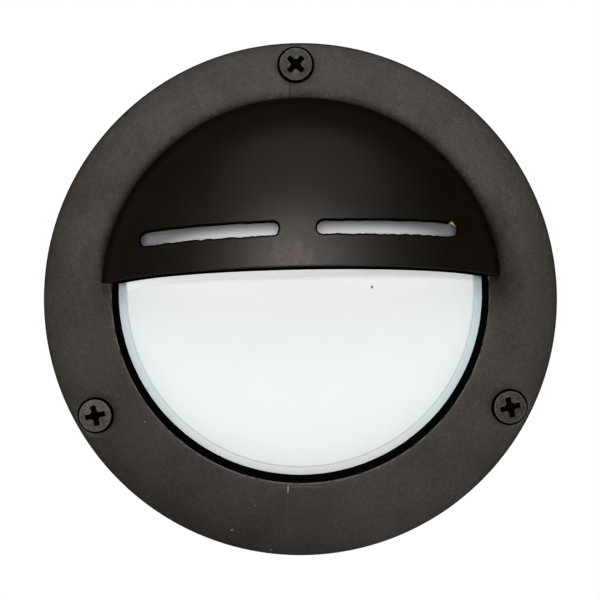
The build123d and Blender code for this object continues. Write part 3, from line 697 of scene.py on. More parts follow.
def frosted_glass(name, colours, lens, centre_up):
    """White pressed glass, frosted in front, greener towards its rim, with painted light and a painted glow below
    the hood's edge and painted shade behind the hood.
    """
    finish = Finish(name, {"IOR": 1.5, "Subsurface Weight": 0.1, "Subsurface Scale": 1.0 * MM,
                           "Subsurface Radius": (0.9, 1.0, 1.0), "Coat Weight": 0.25,
                           "Coat Roughness": 0.18, "Emission Color": colours.glass_edge})
    x, _, z = finish.split(finish.here)
    aside = abs(x)
    radius = x.hypot(z - centre_up)
    face_edge = lens.face_diameter / 2
    # Flat front, painted lighter towards the hood against the hood's shadow
    front = finish.grain(25).ramp(0.3, 0.7).mix(colours.glass, colours.glass_thick)
    front = z.ramp(-12 * MM, 6 * MM).mix(front, colours.glass_top)
    front = (radius.ramp(0.5 * face_edge, 1.04 * face_edge) * 0.5).mix(front, colours.glass_rim)
    # Bevel, lightened against the lip's shade and painted darker at the top as shade below the hood, and the line
    # between it and the front
    past_face = radius.ramp(face_edge - 0.3 * MM, face_edge + 0.1 * MM)
    bevel = aside.ramp(18 * MM, 40 * MM).mix(colours.glass_edge, colours.glass_side)
    bevel = z.ramp(-2 * MM, 4 * MM, 0.0, 0.7).mix(bevel, colours.glass_line)
    tone = past_face.mix(front, bevel)
    from_line = abs(radius - (face_edge - 0.2 * MM))
    tone = from_line.ramp(0.1 * MM, 0.3 * MM, 0.5, 0.0).mix(tone, colours.glass_line)
    # Painted shade on the lens behind the hood, reaching lower at both sides and at the slots' far ends, and a
    # speck
    arch = (aside / (33 * MM)) ** 4.0
    hood_shade_height = z + arch * (4 * MM) + x.ramp(-34 * MM, -6 * MM, 1.0 * MM, 0.0)
    tone = hood_shade_height.ramp(13.0 * MM, 18.2 * MM).mix(tone, colours.glass_dust)
    ends = aside.ramp(32.5 * MM, 36 * MM) * z.ramp(5 * MM, 8 * MM)
    tone = ends.mix(tone, colours.glass_dust)
    tone = finish.stroke(*LENS_SPECK).mix(tone, colours.dirt)
    # Painted glow just below the hood's edge, lifting the hood's shadow
    to_hood = z + arch * (1.1 * MM) - x * 0.012
    painted_glow = to_hood.ramp(4.9 * MM, 6.8 * MM, 0.0, 0.33) * z.ramp(8 * MM, 12 * MM, 1.0, 0.0)
    frost = finish.grain(0.35, 2.0)
    wave = finish.bump(finish.grain(16, 1.0), 0.1)
    return finish.shape(Base_Color=tone, Roughness=frost.ramp(0.3, 0.7, 0.42, 0.52),
                        Normal=finish.bump(frost, 0.004, wave),
                        Emission_Strength=painted_glow * (1.0 - past_face))


def foam_rubber(name, colours):
    """Cut foam with small, dark, open cells."""
    finish = Finish(name, {"Roughness": 0.95, "Specular IOR Level": 0.1})
    cell_size = 0.55 * MM
    cells = finish.get("ShaderNodeTexVoronoi", {"Vector": finish.here, "Scale": 1.0 / cell_size})
    walls = cells.ramp(0.15, 0.6)
    return finish.shape(Base_Color=walls.mix(colours.foam_cell, colours.foam),
                        Normal=finish.bump(walls, 0.12))


def chip_finish(name, colours):
    """White cases, with windows of yellow phosphor where the chip's wear-and-shade value, used here to mark the
    window, is 1.
    """
    finish = Finish(name, {"Roughness": 0.4})
    grains = finish.grain(0.15, 2.0)
    window = grains.ramp(0.35, 0.65).mix(colours.phosphor, colours.phosphor_thick)
    return finish.shape(Base_Color=finish.worn().ramp(0.4, 0.6).mix(colours.chip_case, window),
                        Normal=finish.bump(grains, 0.01))


# Two tones, size of the patches in mm, dullness, depth of the relief in mm and share of metal
PLAIN_FINISHES = {
    "spring_steel": ((0.44, 0.44, 0.44), (0.5, 0.5, 0.49), 3, 0.42, 0.004, 1.0),
    "zinc_steel": ((0.55, 0.56, 0.58), (0.63, 0.63, 0.62), 2, 0.36, 0.005, 1.0),
    "white_enamel": ((0.82, 0.82, 0.8), (0.84, 0.84, 0.83), 14, 0.38, 0.002, 0.0),
    "white_ceramic": ((0.78, 0.76, 0.71), (0.84, 0.82, 0.78), 3, 0.5, 0.03, 0.0),
    "lamp_plastic": ((0.72, 0.72, 0.7), (0.76, 0.76, 0.75), 4, 0.4, 0.01, 0.0),
    "board_white": ((0.82, 0.82, 0.8), (0.86, 0.86, 0.85), 5, 0.35, 0.005, 0.0),
    "pin_metal": ((0.7, 0.69, 0.66), (0.78, 0.77, 0.75), 1, 0.25, 0.005, 1.0),
    "block_plastic": ((0.62, 0.61, 0.57), (0.66, 0.65, 0.61), 3, 0.45, 0.01, 0.0),
    "terminal_brass": ((0.72, 0.5, 0.2), (0.78, 0.58, 0.27), 1, 0.33, 0.005, 1.0),
    "lead_brown": ((0.11, 0.045, 0.02), (0.13, 0.055, 0.027), 2, 0.4, 0.01, 0.0),
    "lead_blue": ((0.02, 0.07, 0.3), (0.03, 0.09, 0.34), 2, 0.4, 0.01, 0.0),
}


def plain_finish(name, tone, second, size, dullness, relief, metal):
    """A moulded, pressed or plated finish: two close tones in patches, with a fine relief."""
    finish = Finish(name, {"Metallic": metal})
    patches = finish.grain(size, 4.0)
    return finish.shape(Base_Color=patches.ramp(0.35, 0.7).mix(tone, second),
                        Roughness=patches.ramp(0.3, 0.7, dullness * 0.85, dullness * 1.15),
                        Normal=finish.bump(finish.grain(size / 6), relief))


def slot_finish(slot, colours):
    """The finish of the pieces in a slot that have no finish of their own, made once."""
    name = f"{slot}_plain"
    if name in bpy.data.materials:
        return bpy.data.materials[name]
    if slot in PLAIN_FINISHES:
        return plain_finish(name, *PLAIN_FINISHES[slot])
    if slot in ("cast_bronze", "hood_bronze", "braze_metal"):
        return dark_bronze(name, colours, *PLAIN_CAST_LOOK)
    makers = {"black_rubber": seal_rubber, "foam_rubber": foam_rubber, "screw_bronze": screw_bronze,
              "led_phosphor": chip_finish}
    return makers[slot](name, colours) if slot in makers else None


# Face ring
class LIGHT_OT_face_ring(bpy.types.Operator):
    """Make the cast face ring with its lip, screw holes and pocket"""
    bl_idname = "wall_light.face_ring"
    bl_label = "Face Ring"

    around, hole_around, sharp = 288, 48, 50
    front_spacing, back_spacing = 1.3 * MM, 2.5 * MM
    back_edge, lip_edge = 3, 1.2  # widths of the rim's back edge and the lip's edge, in roundings
    rim_turns = range(0, 90, 15)
    # Wear along the lip, lightened as a painted highlight
    lip_wear = (0.0, 0.3, 1.0, 1.0, 0.3, 0.0)
    # Growth and drop of a head hole's edge, as shares of its rounding, and wear-and-shade value, turning to
    # painted shade into the hole
    hole_edge = ((1.0, 0.0, 0.0), (0.3, 0.3, -0.6), (0.0, 1.0, -0.6))
    # Painted shade down the head holes
    hole_wear = -1.0

    def execute(self, context):
        face = context.scene.light_face
        ring = Skin()
        rim = face.ring_diameter / 2
        tapered = rim - face.rim_draft
        corners = [(tapered - self.back_edge * face.edge_round, face.ring_back, 0),
                   (tapered, face.ring_back, face.edge_round), (rim, face_out(face, rim), 0)]
        rim_loops = ring.turn(soften(corners, False), self.around, closed=False)
        rounding = [rim - face.rim_round * (1 - math.sin(math.radians(turn))) for turn in self.rim_turns]
        extra = [from_front(p) for radius in rounding for p in circle(radius, 0, self.around)]
        lip_loops = self.lip(ring, face)
        front_holes, back_holes = self.screw_holes(ring, face)
        ring.sheet([rim_loops[-1], lip_loops[0], *front_holes], from_front,
                   lambda u, v: on_face(face, u, v), self.front_spacing, extra)
        ring.sheet([rim_loops[0], lip_loops[-1], *back_holes], from_front,
                   lambda u, v: (u, -face.ring_back, v), self.back_spacing)
        finish = dark_bronze("dark_bronze_cast", context.scene.light_finish, *CAST_LOOK, RING_MARKS,
                             painted_light=ring_painted_light)
        mesh = ring.mesh("face_ring_cast", self.sharp)
        piece("face_ring_cast", mesh, finish, "face", "cast_bronze", "face_ring")
        return {"FINISHED"}

    def lip(self, ring, face):
        """Loops from the sloping face over the lip and through the pocket to the ring's back."""
        bore, pocket = face.opening_diameter / 2, face.pocket_diameter / 2
        centre = (0.0, face.opening_up)
        starts, corners = ([on_face(face, p.x, p.z) for p in circle(radius, 0, self.around, centre)]
                           for radius in (bore + self.lip_edge * face.lip_round, bore))
        ends = [p + Vector((0, face.lip_round, 0)) for p in corners]
        loops = ring.bend(starts, corners, ends, self.lip_wear)
        for radius, out in ((bore, lip_back(face)), (pocket, lip_back(face)), (pocket, face.ring_back)):
            loops.append(ring.add(circle(radius, out, self.around, centre)))
        ring.bridge(*loops)
        return loops

    def screw_holes(self, ring, face):
        """Countersunk holes, each from its loop on the face to its loop on the back."""
        fronts, backs = [], []
        head, shank, keeper = face.head_hole / 2, face.shank_hole / 2, face.keeper_hole / 2
        keeper_out = face.ring_back + face.keeper_depth
        for place in SCREW_PLACES.values():
            away = math.hypot(place.x, place.z)
            share = 1 - face.hole_inset / away
            centre = (place.x * share, place.z * share)
            sunk = face_out(face, away) - face.head_sink
            outline = [(head, sunk), (shank, sunk - (head - shank)), (shank, keeper_out),
                       (keeper, keeper_out), (keeper, face.ring_back)]
            loops = []
            for grow, drop, worn in self.hole_edge:
                points = circle(head + grow * face.edge_round, 0, self.hole_around, centre)
                loops.append(ring.add([on_face(face, p.x, p.z, drop * face.edge_round) for p in points],
                                      worn))
            loops += [ring.add(circle(radius, out, self.hole_around, centre), self.hole_wear)
                      for radius, out in outline]
            ring.bridge(*loops)
            fronts.append(loops[0])
            backs.append(loops[-1])
        return fronts, backs


# Hood
class Dome:
    """One face of the hood: half an ellipsoid on the ring, cut off by a slanting plane."""

    fineness = 400

    def __init__(self, hood, base, radius, depth, foot_rise):
        self.hood = hood
        self.base = base
        self.radius = radius
        self.depth = depth
        self.foot_rise = foot_rise
        self.foot_radius = radius * math.sqrt(1 - (foot_rise / depth) ** 2)
        self.turns = np.linspace(0, math.pi / 2, self.fineness)
        steps = np.hypot(radius * np.diff(np.sin(self.turns)), depth * np.diff(np.cos(self.turns)))
        self.run = np.concatenate([[0], np.cumsum(steps)])
        self.cos, self.sin = math.cos(hood.edge_tilt), math.sin(hood.edge_tilt)
        self.forward = Vector((0, -self.cos, self.sin))

    def on_slant(self, across, above):
        """Point of the dome at a place across and above the plane of the lower edge."""
        cos, sin = self.cos, self.sin
        height = self.hood.edge_up + above * cos
        a = (sin / self.radius) ** 2 + (cos / self.depth) ** 2
        b = 2 * (height * sin / self.radius ** 2 - above * sin * cos / self.depth ** 2)
        c = (across ** 2 + height ** 2) / self.radius ** 2 + (above * sin / self.depth) ** 2 - 1
        ahead = (-b + math.sqrt(max(0.0, b * b - 4 * a * c))) / (2 * a)
        return Vector((across, above * sin - ahead * cos - self.base, height + ahead * sin))

    def foot_end(self, above):
        """Half width of the foot at a height above the plane of the lower edge, and that height."""
        ahead = (self.foot_rise + above * self.sin) / self.cos
        height = self.hood.edge_up + above * self.cos + ahead * self.sin
        return math.sqrt(self.foot_radius ** 2 - height ** 2), height

    def flatten(self, point):
        """Place on the dome as it would lie unrolled about its middle."""
        radius = math.hypot(point.x, point.z)
        turn = math.asin(min(1.0, radius / self.radius))
        share = np.interp(turn, self.turns, self.run) / radius
        return point.x * share, point.z * share

    def place(self, u, v):
        """Point of the dome at a place on the unrolled one."""
        run = math.hypot(u, v)
        turn = np.interp(run, self.run, self.turns)
        share = self.radius * math.sin(turn) / run
        return Vector((u * share, -self.base - self.depth * math.cos(turn), v * share))

    def rim(self, edge_steps, corner_steps, foot_steps):
        """Closed outline: lower edge, right corner, foot over the top, left corner."""
        corner, rise = self.hood.corner_round, self.hood.corner_rise
        end, height = self.foot_end(rise)
        middle = end - corner
        points = [self.on_slant(middle * (2 * i / edge_steps - 1), 0) for i in range(edge_steps)]
        turns = [math.pi / 2 * (i / corner_steps) for i in range(corner_steps)]
        points += [self.on_slant(middle + corner * math.sin(t), rise - rise * math.cos(t)) for t in turns]
        start = math.asin(height / self.foot_radius)
        for i in range(foot_steps + 1):
            turn = start + (math.pi - 2 * start) * i / foot_steps
            points.append(Vector((self.foot_radius * math.cos(turn), -self.base - self.foot_rise,
                                  self.foot_radius * math.sin(turn))))
        return points + [self.on_slant(-middle - corner * math.cos(t), rise - rise * math.sin(t))
                         for t in turns[1:]]

    def inset(self, loop, distance):
        """The loop moved along the dome, towards the inside of the loop."""
        flat = np.array([self.flatten(point) for point in loop])
        along = np.roll(flat, -1, axis=0) - np.roll(flat, 1, axis=0)
        inward = np.stack([-along[:, 1], along[:, 0]], axis=1)
        inward /= np.linalg.norm(inward, axis=1)[:, None]
        return flat + distance * inward


class LIGHT_OT_hood(bpy.types.Operator):
    """Make the slotted half-dome hood"""
    bl_idname = "wall_light.hood"
    bl_label = "Hood"

    rim_steps = (150, 6, 220)  # on the lower edge, a corner and the foot
    slot_low_steps, slot_end_steps, slot_high_steps = 90, 12, 64
    outer_spacing, inner_spacing = 0.9 * MM, 1.6 * MM
    beside_edge = 2.2  # distance of a row of points beside an edge, in roundings
    burr_seed = Vector((3.1, 7.7, 1.3))
    burr_length = 1.5 * MM
    fine_burr, fine_scale = 0.7, 2.7
    burr_above = 0.4  # share of the unevenness on the upper edges
    # Wear and painted shade round the lower edge: slightly rubbed on the edge, painted shade on its face
    edge_wear = (0.0, 0.2, -0.4, -1.0)
    # Painted shade on the walls of the slots
    slot_wear = (-0.9, -1.0, -1.0, -1.0)
    dullness, sheen, relief = 0.36, 0.19, 0.4

    def execute(self, context):
        face = context.scene.light_face
        hood = context.scene.light_hood
        radius = hood.diameter / 2
        base = face_out(face, radius + hood.centre_up)
        inner_radius = radius - hood.wall
        inner_rise = face_out(face, inner_radius) - base + hood.foot_gap
        outer = Dome(hood, base, radius, hood.depth, hood.foot_gap)
        inner = Dome(hood, base, inner_radius, hood.depth - hood.wall, inner_rise)
        shell = Skin()
        outer_rim, inner_rim = outer.rim(*self.rim_steps), inner.rim(*self.rim_steps)
        outer_loops = self.rim_bend(shell, outer, outer_rim, inner_rim)
        inner_loops = self.rim_bend(shell, inner, inner_rim, outer_rim)
        shell.bridge(*outer_loops, *reversed(inner_loops))
        outer_extra = list(outer.inset(outer_rim, self.beside_edge * hood.edge_round))
        outer_holes, inner_holes = [outer_loops[0]], [inner_loops[0]]
        for side in (-1, 1):
            loops, extra = self.slot(shell, hood, outer, inner, side)
            outer_holes.append(loops[0])
            inner_holes.append(loops[-1])
            outer_extra += extra
        shell.sheet(outer_holes, outer.flatten, outer.place, self.outer_spacing, outer_extra)
        shell.sheet(inner_holes, inner.flatten, inner.place, self.inner_spacing)
        finish = dark_bronze("dark_bronze_hood", context.scene.light_finish, self.dullness, self.sheen,
                             HOOD_MARKS, self.relief)
        mesh = shell.mesh("hood_dome")
        mesh.transform(Matrix.Translation((hood.centre_aside, 0, hood.centre_up)))
        piece("hood_dome", mesh, finish, "face", "hood_bronze", "hood")
        return {"FINISHED"}

    def rim_bend(self, shell, dome, rim, other):
        """Loops from the dome's face round its edge to the face between the two domes."""
        edge = dome.hood.edge_round
        on_dome = [dome.place(u, v) for u, v in dome.inset(rim, edge)]
        on_wall = [p + (q - p).normalized() * edge for p, q in zip(rim, other)]
        return shell.bend(on_dome, rim, on_wall, self.edge_wear)

    def slot_outline(self, hood, side):
        """Uneven outline of a slot: places across and above the lower edge's plane, and ways out."""
        half = hood.slot_height / 2
        straight = hood.slot_length / 2 - half
        middle = side * (hood.slot_bridge + hood.slot_length) / 2 + hood.slot_aside
        low, high = self.slot_low_steps, self.slot_high_steps
        ends = [math.pi * i / self.slot_end_steps for i in range(self.slot_end_steps)]
        ends = [(math.sin(t), math.cos(t)) for t in ends]
        spots = [(middle - straight + 2 * straight * i / low, -half, 0.0, -1.0) for i in range(low)]
        spots += [(middle + straight + half * sin, -half * cos, sin, -cos) for sin, cos in ends]
        spots += [(middle + straight - 2 * straight * i / high, half, 0.0, 1.0) for i in range(high)]
        spots += [(middle - straight - half * sin, half * cos, -sin, cos) for sin, cos in ends]
        uneven = []
        for across, above, out_across, out_above in spots:
            seed = Vector((across / self.burr_length, above / MM, 0.0)) + self.burr_seed
            share = 1.0 if out_above < 0 else self.burr_above
            wave = noise.noise(seed) + self.fine_burr * noise.noise(self.fine_scale * seed)
            burr = hood.slot_burr * share * wave
            up = hood.slot_up + across * math.tan(hood.slot_tilt)
            uneven.append((across + burr * out_across, up + above + burr * out_above,
                           out_across, out_above))
        return uneven

    def slot(self, shell, hood, outer, inner, side):
        """Loops through one slot, from the outer dome to the inner one, and spots beside it."""
        outline = self.slot_outline(hood, side)
        edge = hood.edge_round
        back = edge * outer.forward
        loops = []
        for dome, sign, rise in ((outer, -1, 0.0), (inner, 1, hood.slot_slant)):
            on_dome = [dome.on_slant(x + edge * nx, d + rise + edge * nd) for x, d, nx, nd in outline]
            corner = [dome.on_slant(x, d + rise) for x, d, _, _ in outline]
            on_wall = [point + sign * back for point in corner]
            made = shell.bend(on_dome, corner, on_wall, self.slot_wear)
            loops += made if dome is outer else reversed(made)
        shell.bridge(*loops)
        far = self.beside_edge * edge
        extra = [outer.flatten(outer.on_slant(x + far * nx, d + far * nd)) for x, d, nx, nd in outline]
        return loops, extra


class Shaper(Nodes):
    """A Geometry Nodes tree with named inputs that gives plain meshes."""

    def __init__(self, name, inputs):
        self.tree = bpy.data.node_groups.new(name, "GeometryNodeTree")
        super().__init__(self.tree)
        self.tree.interface.new_socket("Geometry", in_out="OUTPUT", socket_type="NodeSocketGeometry")
        for label, kind in inputs.items():
            self.tree.interface.new_socket(label, in_out="INPUT", socket_type=f"NodeSocket{kind}")
        outputs = self.add("NodeGroupInput").outputs
        self.given = {label: Value(self, outputs[label]) for label in inputs}

    def result(self, geometry):
        real = self.get("GeometryNodeRealizeInstances", {0: geometry})
        smooth = self.get("GeometryNodeSetShadeSmooth", {0: real})
        painted = self.get("GeometryNodeSetMaterial", {0: smooth, "Material": self.given["Finish"]})
        self.add("NodeGroupOutput", {0: painted})

    def mesh(self, name, values, places=None):
        holder = bpy.data.objects.new(name, places or bpy.data.meshes.new(name))
        bpy.context.scene.collection.objects.link(holder)
        modifier = holder.modifiers.new(name, "NODES")
        modifier.node_group = self.tree
        for item in self.tree.interface.items_tree:
            if item.in_out == "INPUT" and item.name in values:
                modifier[item.identifier] = values[item.name]
        evaluated = holder.evaluated_get(bpy.context.evaluated_depsgraph_get())
        made = bpy.data.meshes.new_from_object(evaluated)
        bpy.data.objects.remove(holder)
        made.name = name
        return made


def bead_shaper():
    """A hollow fillet along an arc: out of the ring's sloping face, up the hood's foot, with lumps."""
    sizes = ("Radius", "Across", "Up", "Base", "Slope", "Foot", "Rise", "Lumps", "Lump Size", "Half Angle")
    bead = Shaper("braze_bead", {**dict.fromkeys(sizes, "Float"), "Steps": "Int", "Rows": "Int",
                                 "Finish": "Material"})
    given = bead.given
    grid = bead.get("GeometryNodeMeshGrid", {"Size X": 1.0, "Size Y": 1.0, "Vertices X": given["Steps"],
                                             "Vertices Y": given["Rows"]})
    along, across, _ = bead.split(bead.get("GeometryNodeInputPosition"))
    turn = along * (given["Half Angle"] * 2.0)
    share = across + 0.5
    rest = 1.0 - share
    # The fillet is thin at both ends and below the top screw, and wanders in between
    by_end = abs(along).ramp(0.43, 0.5, 1.0, 0.1)
    by_screw = abs(along).ramp(0.03, 0.1, 0.62, 1.0)
    wander = bead.get("ShaderNodeTexNoise", {"W": turn / given["Lump Size"], "Scale": 0.4},
                      noise_dimensions="1D")
    size = by_end * by_screw * wander.ramp(0.2, 0.8, 0.85, 1.15)
    foot = rest * rest * (size * given["Foot"])
    rise = share * share * (size * given["Rise"])
    spot = bead.join(turn, share * given["Lump Size"])
    rough = bead.get("ShaderNodeTexNoise", {"Vector": spot, "Scale": 1.0 / given["Lump Size"]})
    belly = share * rest * (given["Lumps"] * 4.0)
    lump = (rough - 0.5) * (belly * share)
    radius = given["Radius"] + foot + lump
    x = given["Across"] + radius * bead.math("SINE", turn)
    z = given["Up"] + radius * bead.math("COSINE", turn)
    fallen = (x.hypot(z) - given["Radius"]) * given["Slope"]
    out = given["Base"] - fallen + rise + lump
    bead.result(bead.get("GeometryNodeSetPosition", {0: grid, "Position": bead.join(x, out * -1.0, z)}))
    return bead


class LIGHT_OT_braze(bpy.types.Operator):
    """Make the braze fillet at the hood's foot"""
    bl_idname = "wall_light.braze"
    bl_label = "Braze Fillet"

    steps, rows = 420, 13
    sharp = math.radians(60)

    def execute(self, context):
        face = context.scene.light_face
        hood = context.scene.light_hood
        radius = hood.diameter / 2
        half = math.pi / 2 - math.asin((hood.edge_up + hood.corner_rise) / radius)
        slope = face.lip_rise / (face.ring_diameter - face.opening_diameter) * 2
        finish = dark_bronze("dark_bronze_braze", context.scene.light_finish, *CAST_LOOK, (CASTING_SEAM,),
                             painted_light=ring_painted_light)
        values = {"Radius": radius, "Across": hood.centre_aside, "Up": hood.centre_up,
                  "Base": face_out(face, radius), "Slope": slope, "Foot": hood.bead_foot,
                  "Rise": hood.bead_rise, "Lumps": hood.bead_lumps, "Lump Size": hood.bead_lump_angle,
                  "Half Angle": half, "Steps": self.steps, "Rows": self.rows, "Finish": finish}
        mesh = bead_shaper().mesh("hood_braze_fillet", values)
        self.close(mesh)
        piece("hood_braze_fillet", mesh, finish, "face", "braze_metal", "hood_braze")
        return {"FINISHED"}

    def close(self, mesh):
        """Closes the fillet with a floor inside the ring, a wall inside the hood and two ends."""
        shaped = bmesh.new()
        shaped.from_mesh(mesh)
        shaped.verts.ensure_lookup_table()
        rows = [shaped.verts[i * self.rows:(i + 1) * self.rows] for i in range(self.steps)]
        corners = [shaped.verts.new((row[-1].co.x, row[0].co.y, row[-1].co.z)) for row in rows]
        for i in range(self.steps - 1):
            for side in (0, -1):
                shaped.faces.new((rows[i][side], rows[i + 1][side], corners[i + 1], corners[i]))
        for end in (0, -1):
            shaped.faces.new((*rows[end], corners[end]))
        bmesh.ops.recalc_face_normals(shaped, faces=shaped.faces)
        for face in shaped.faces:
            face.smooth = True
        shaped.to_mesh(mesh)
        shaped.free()
        mesh.set_sharp_from_angle(angle=self.sharp)


# Lens and seal
class LIGHT_OT_lens(bpy.types.Operator):
    """Make the frosted lens and the rubber seal in front of it"""
    bl_idname = "wall_light.lens"
    bl_label = "Lens and Seal"

    around = 256
    sharp = 60
    middle = 2 * MM  # radius of the fans in the middle of the lens
    flange_round, step_round = 0.3 * MM, 0.1 * MM
    front_rings = (0.9, 0.6, 0.3)  # shares of the flat front's radius
    seal_round, lip_round, lip_fall = 0.2 * MM, 0.1 * MM, 0.05 * MM
    sleeve_down = 1.6  # distance of the sleeve from the front of the ring's lip, in roundings

    def execute(self, context):
        face = context.scene.light_face
        lens = context.scene.light_lens
        colours = context.scene.light_finish
        centre = (0.0, face.opening_up)
        flange, step, flat = lens.flange_diameter / 2, lens.step_diameter / 2, lens.face_diameter / 2
        seat = lens.front - lens.step_height
        glass = Skin()
        corners = [(self.middle, lens.back, 0), (flange, lens.back, self.flange_round),
                   (flange, seat, self.flange_round), (step, seat, self.step_round),
                   (step, lens.front - lens.bevel_drop, self.step_round),
                   (flat, lens.front, lens.face_round),
                   *((share * flat, lens.front, 0) for share in self.front_rings),
                   (self.middle, lens.front, 0)]
        loops = glass.turn(soften(corners, False), self.around, centre, closed=False)
        for loop, out in ((loops[0], lens.back), (loops[-1], lens.front)):
            glass.fan(loop, (0, -out, face.opening_up))
        finish = frosted_glass("frosted_glass_lens", colours, lens, face.opening_up)
        piece("lens_glass", glass.mesh("lens_glass", self.sharp), finish, "face", "frosted_glass", "lens")

        band = Skin()
        sight, bore, back = lens.seal_sight / 2, face.opening_diameter / 2, lip_back(face)
        lip_top = back + face.lip_thickness - self.sleeve_down * face.lip_round
        shade_sleeve, foot = bore - lens.seal_sleeve, step + lens.seal_sleeve
        lifted = seat + lens.seal_lift
        # The seal's thin sleeve lines the ring's bore as a dark sheet that stands in for the bore's shade
        outline = [(sight, lifted, 0), (foot, lifted - self.lip_fall, 0), (foot, seat, 0),
                   (flange, seat, self.seal_round), (flange, back, self.seal_round), (bore, back, 0),
                   (bore, lip_top, 0), (shade_sleeve, lip_top, 0), (shade_sleeve, back, self.lip_round)]
        band.turn(soften(outline), self.around, centre)
        rubber = seal_rubber("seal_rubber_lens", colours)
        mesh = band.mesh("lens_seal_band", self.sharp)
        piece("lens_seal_band", mesh, rubber, "face", "black_rubber", "lens_seal")
        return {"FINISHED"}


# Cover screws
def cross_outline(span, width):
    """Plus-shaped loop with rounded arm ends and inner corners, as (across, up) spots."""
    half, arm = width / 2, span / 2
    end_round = 0.35 * half
    corner = Vector((half, half))
    quarter = bend(corner + Vector((0, half)), corner, corner + Vector((half, 0)))
    quarter += bend(Vector((arm - end_round, half)), Vector((arm, half)), Vector((arm, half - end_round)))
    quarter += bend(Vector((arm, end_round - half)), Vector((arm, -half)), Vector((arm - end_round, -half)))
    spots = []
    for i in range(4):
        turned = Matrix.Rotation(-math.pi / 2 * i, 2)
        spots += [turned @ spot for spot in quarter]
    return spots


class LIGHT_OT_cover_screws(bpy.types.Operator):
    """Make the three cross-recess cover screws"""
    bl_idname = "wall_light.cover_screws"
    bl_label = "Cover Screws"

    cross_turns = {"top_screw": 45.0, "right_screw": -14.0, "left_screw": -12.0}
    around, sharp = 48, 40
    top_spacing = 0.4 * MM
    under_round, top_round = 0.12 * MM, 0.15 * MM
    # Wear on the head's edge, lightened as a painted highlight
    head_wear = (0, 0, 0.2, 0.4, 0.4, 0.6, 1, 1, 0.6, 0.2)
    # Share of the cross's span, share of its depth and wear-and-shade value: a painted highlight on the recess's
    # rim, painted shade inside it
    recess_rows = ((1.05, 0.0, 0.5), (1.0, 0.05, 0.0), (0.97, 0.15, -1.0), (0.9, 0.5, -1.0),
                   (0.6, 1.0, -1.0))
    recess_tip = 1.05
    arm_least, arm_taper = 0.3, 0.7  # width of an arm, from its tip on
    top_share, top_rise = 0.8, 0.5  # radius and height of the top's edge, of the head's and the crown's
    screw_length, tip_length, tip_taper = 20 * MM, 0.8 * MM, 0.6
    rows_per_turn, flank = 8, 1.6

    def execute(self, context):
        sizes = context.scene.light_screw
        finish = screw_bronze("screw_bronze_turned", context.scene.light_finish)
        for body, place in SCREW_PLACES.items():
            node = "cover_screw_" + body.split("_")[0]
            low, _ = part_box(node)
            mesh = self.screw(sizes).mesh(f"{node}_threaded", self.sharp)
            turned = Matrix.Rotation(math.radians(self.cross_turns[body]), 4, "Y")
            mesh.transform(Matrix.Translation((place.x, low.y, place.z)) @ turned)
            piece(f"{node}_threaded", mesh, finish, body, "screw_bronze", node)
        return {"FINISHED"}

    def screw(self, sizes):
        """A countersunk screw along Y at the origin, with the rim of its head at out 0."""
        screw = Skin()
        head, shank = sizes.head_diameter / 2, sizes.shank_diameter / 2
        cone = sizes.head_land + head - shank
        crown, top = sizes.head_crown, self.top_share * head
        side = [(shank, -cone, 0), (head, -sizes.head_land, self.under_round), (head, 0, self.top_round),
                (top, self.top_rise * crown, 0)]
        loops = [screw.add(circle(radius, out, self.around), worn)
                 for (radius, out), worn in zip(soften(side, False), self.head_wear)]
        screw.bridge(*loops)
        recess = []
        for share, drop, worn in self.recess_rows:
            width = sizes.cross_width * (self.arm_least + self.arm_taper * share)
            spots = cross_outline(sizes.cross_span * share, width)
            recess.append(screw.level(spots, crown - sizes.cross_depth * drop, worn))
        screw.bridge(*recess)
        screw.fan(recess[-1], (0, sizes.cross_depth * self.recess_tip - crown, 0), -1.0)
        fall = 1 - self.top_rise
        crowned = lambda u, v: (u, -crown * (1 - fall * (math.hypot(u, v) / top) ** 2), v)
        screw.sheet([loops[-1], recess[0]], from_front, crowned, self.top_spacing)
        self.thread(screw, loops[0], sizes, cone)
        return screw

    def thread(self, screw, neck, sizes, cone):
        """A helical thread from the head's cone to a chamfered tip."""
        rows = int((self.screw_length - cone) / sizes.thread_pitch * self.rows_per_turn)
        loops = [neck]
        for row in range(1, rows + 1):
            down = cone + (self.screw_length - cone) * row / rows
            near_tip = max(0.0, down - (self.screw_length - self.tip_length))
            points = []
            for i in range(self.around):
                turn = i / self.around
                phase = (down / sizes.thread_pitch - turn) % 1.0
                groove = sizes.thread_depth * min(1.0, self.flank * abs(2 * phase - 1))
                radius = sizes.shank_diameter / 2 - groove - self.tip_taper * near_tip
                points.append((radius * math.sin(2 * math.pi * turn), down,
                               radius * math.cos(2 * math.pi * turn)))
            loops.append(screw.add(points))
        screw.bridge(*loops)
        screw.fan(loops[-1], (0, self.screw_length, 0))


# Small pieces that repeat
SMALL_SHARP = 40
SAME_CORNER = 1e-6


def array_shaper():
    """Copies of one part on given places, each turned about the Y axis by its place's turn."""
    row = Shaper("part_array", {"Places": "Geometry", "Part": "Object", "Scale": "Float",
                                "Finish": "Material"})
    part = row.get("GeometryNodeObjectInfo", {"Object": row.given["Part"], "As Instance": True}, "Geometry")
    turn = row.get("GeometryNodeInputNamedAttribute", {"Name": "turn"}, "Attribute", data_type="FLOAT")
    way = row.get("FunctionNodeEulerToRotation", {0: row.join(0.0, turn)})
    row.result(row.get("GeometryNodeInstanceOnPoints", {
        "Points": row.given["Places"], "Instance": part, "Rotation": way, "Scale": row.given["Scale"]}))
    return row


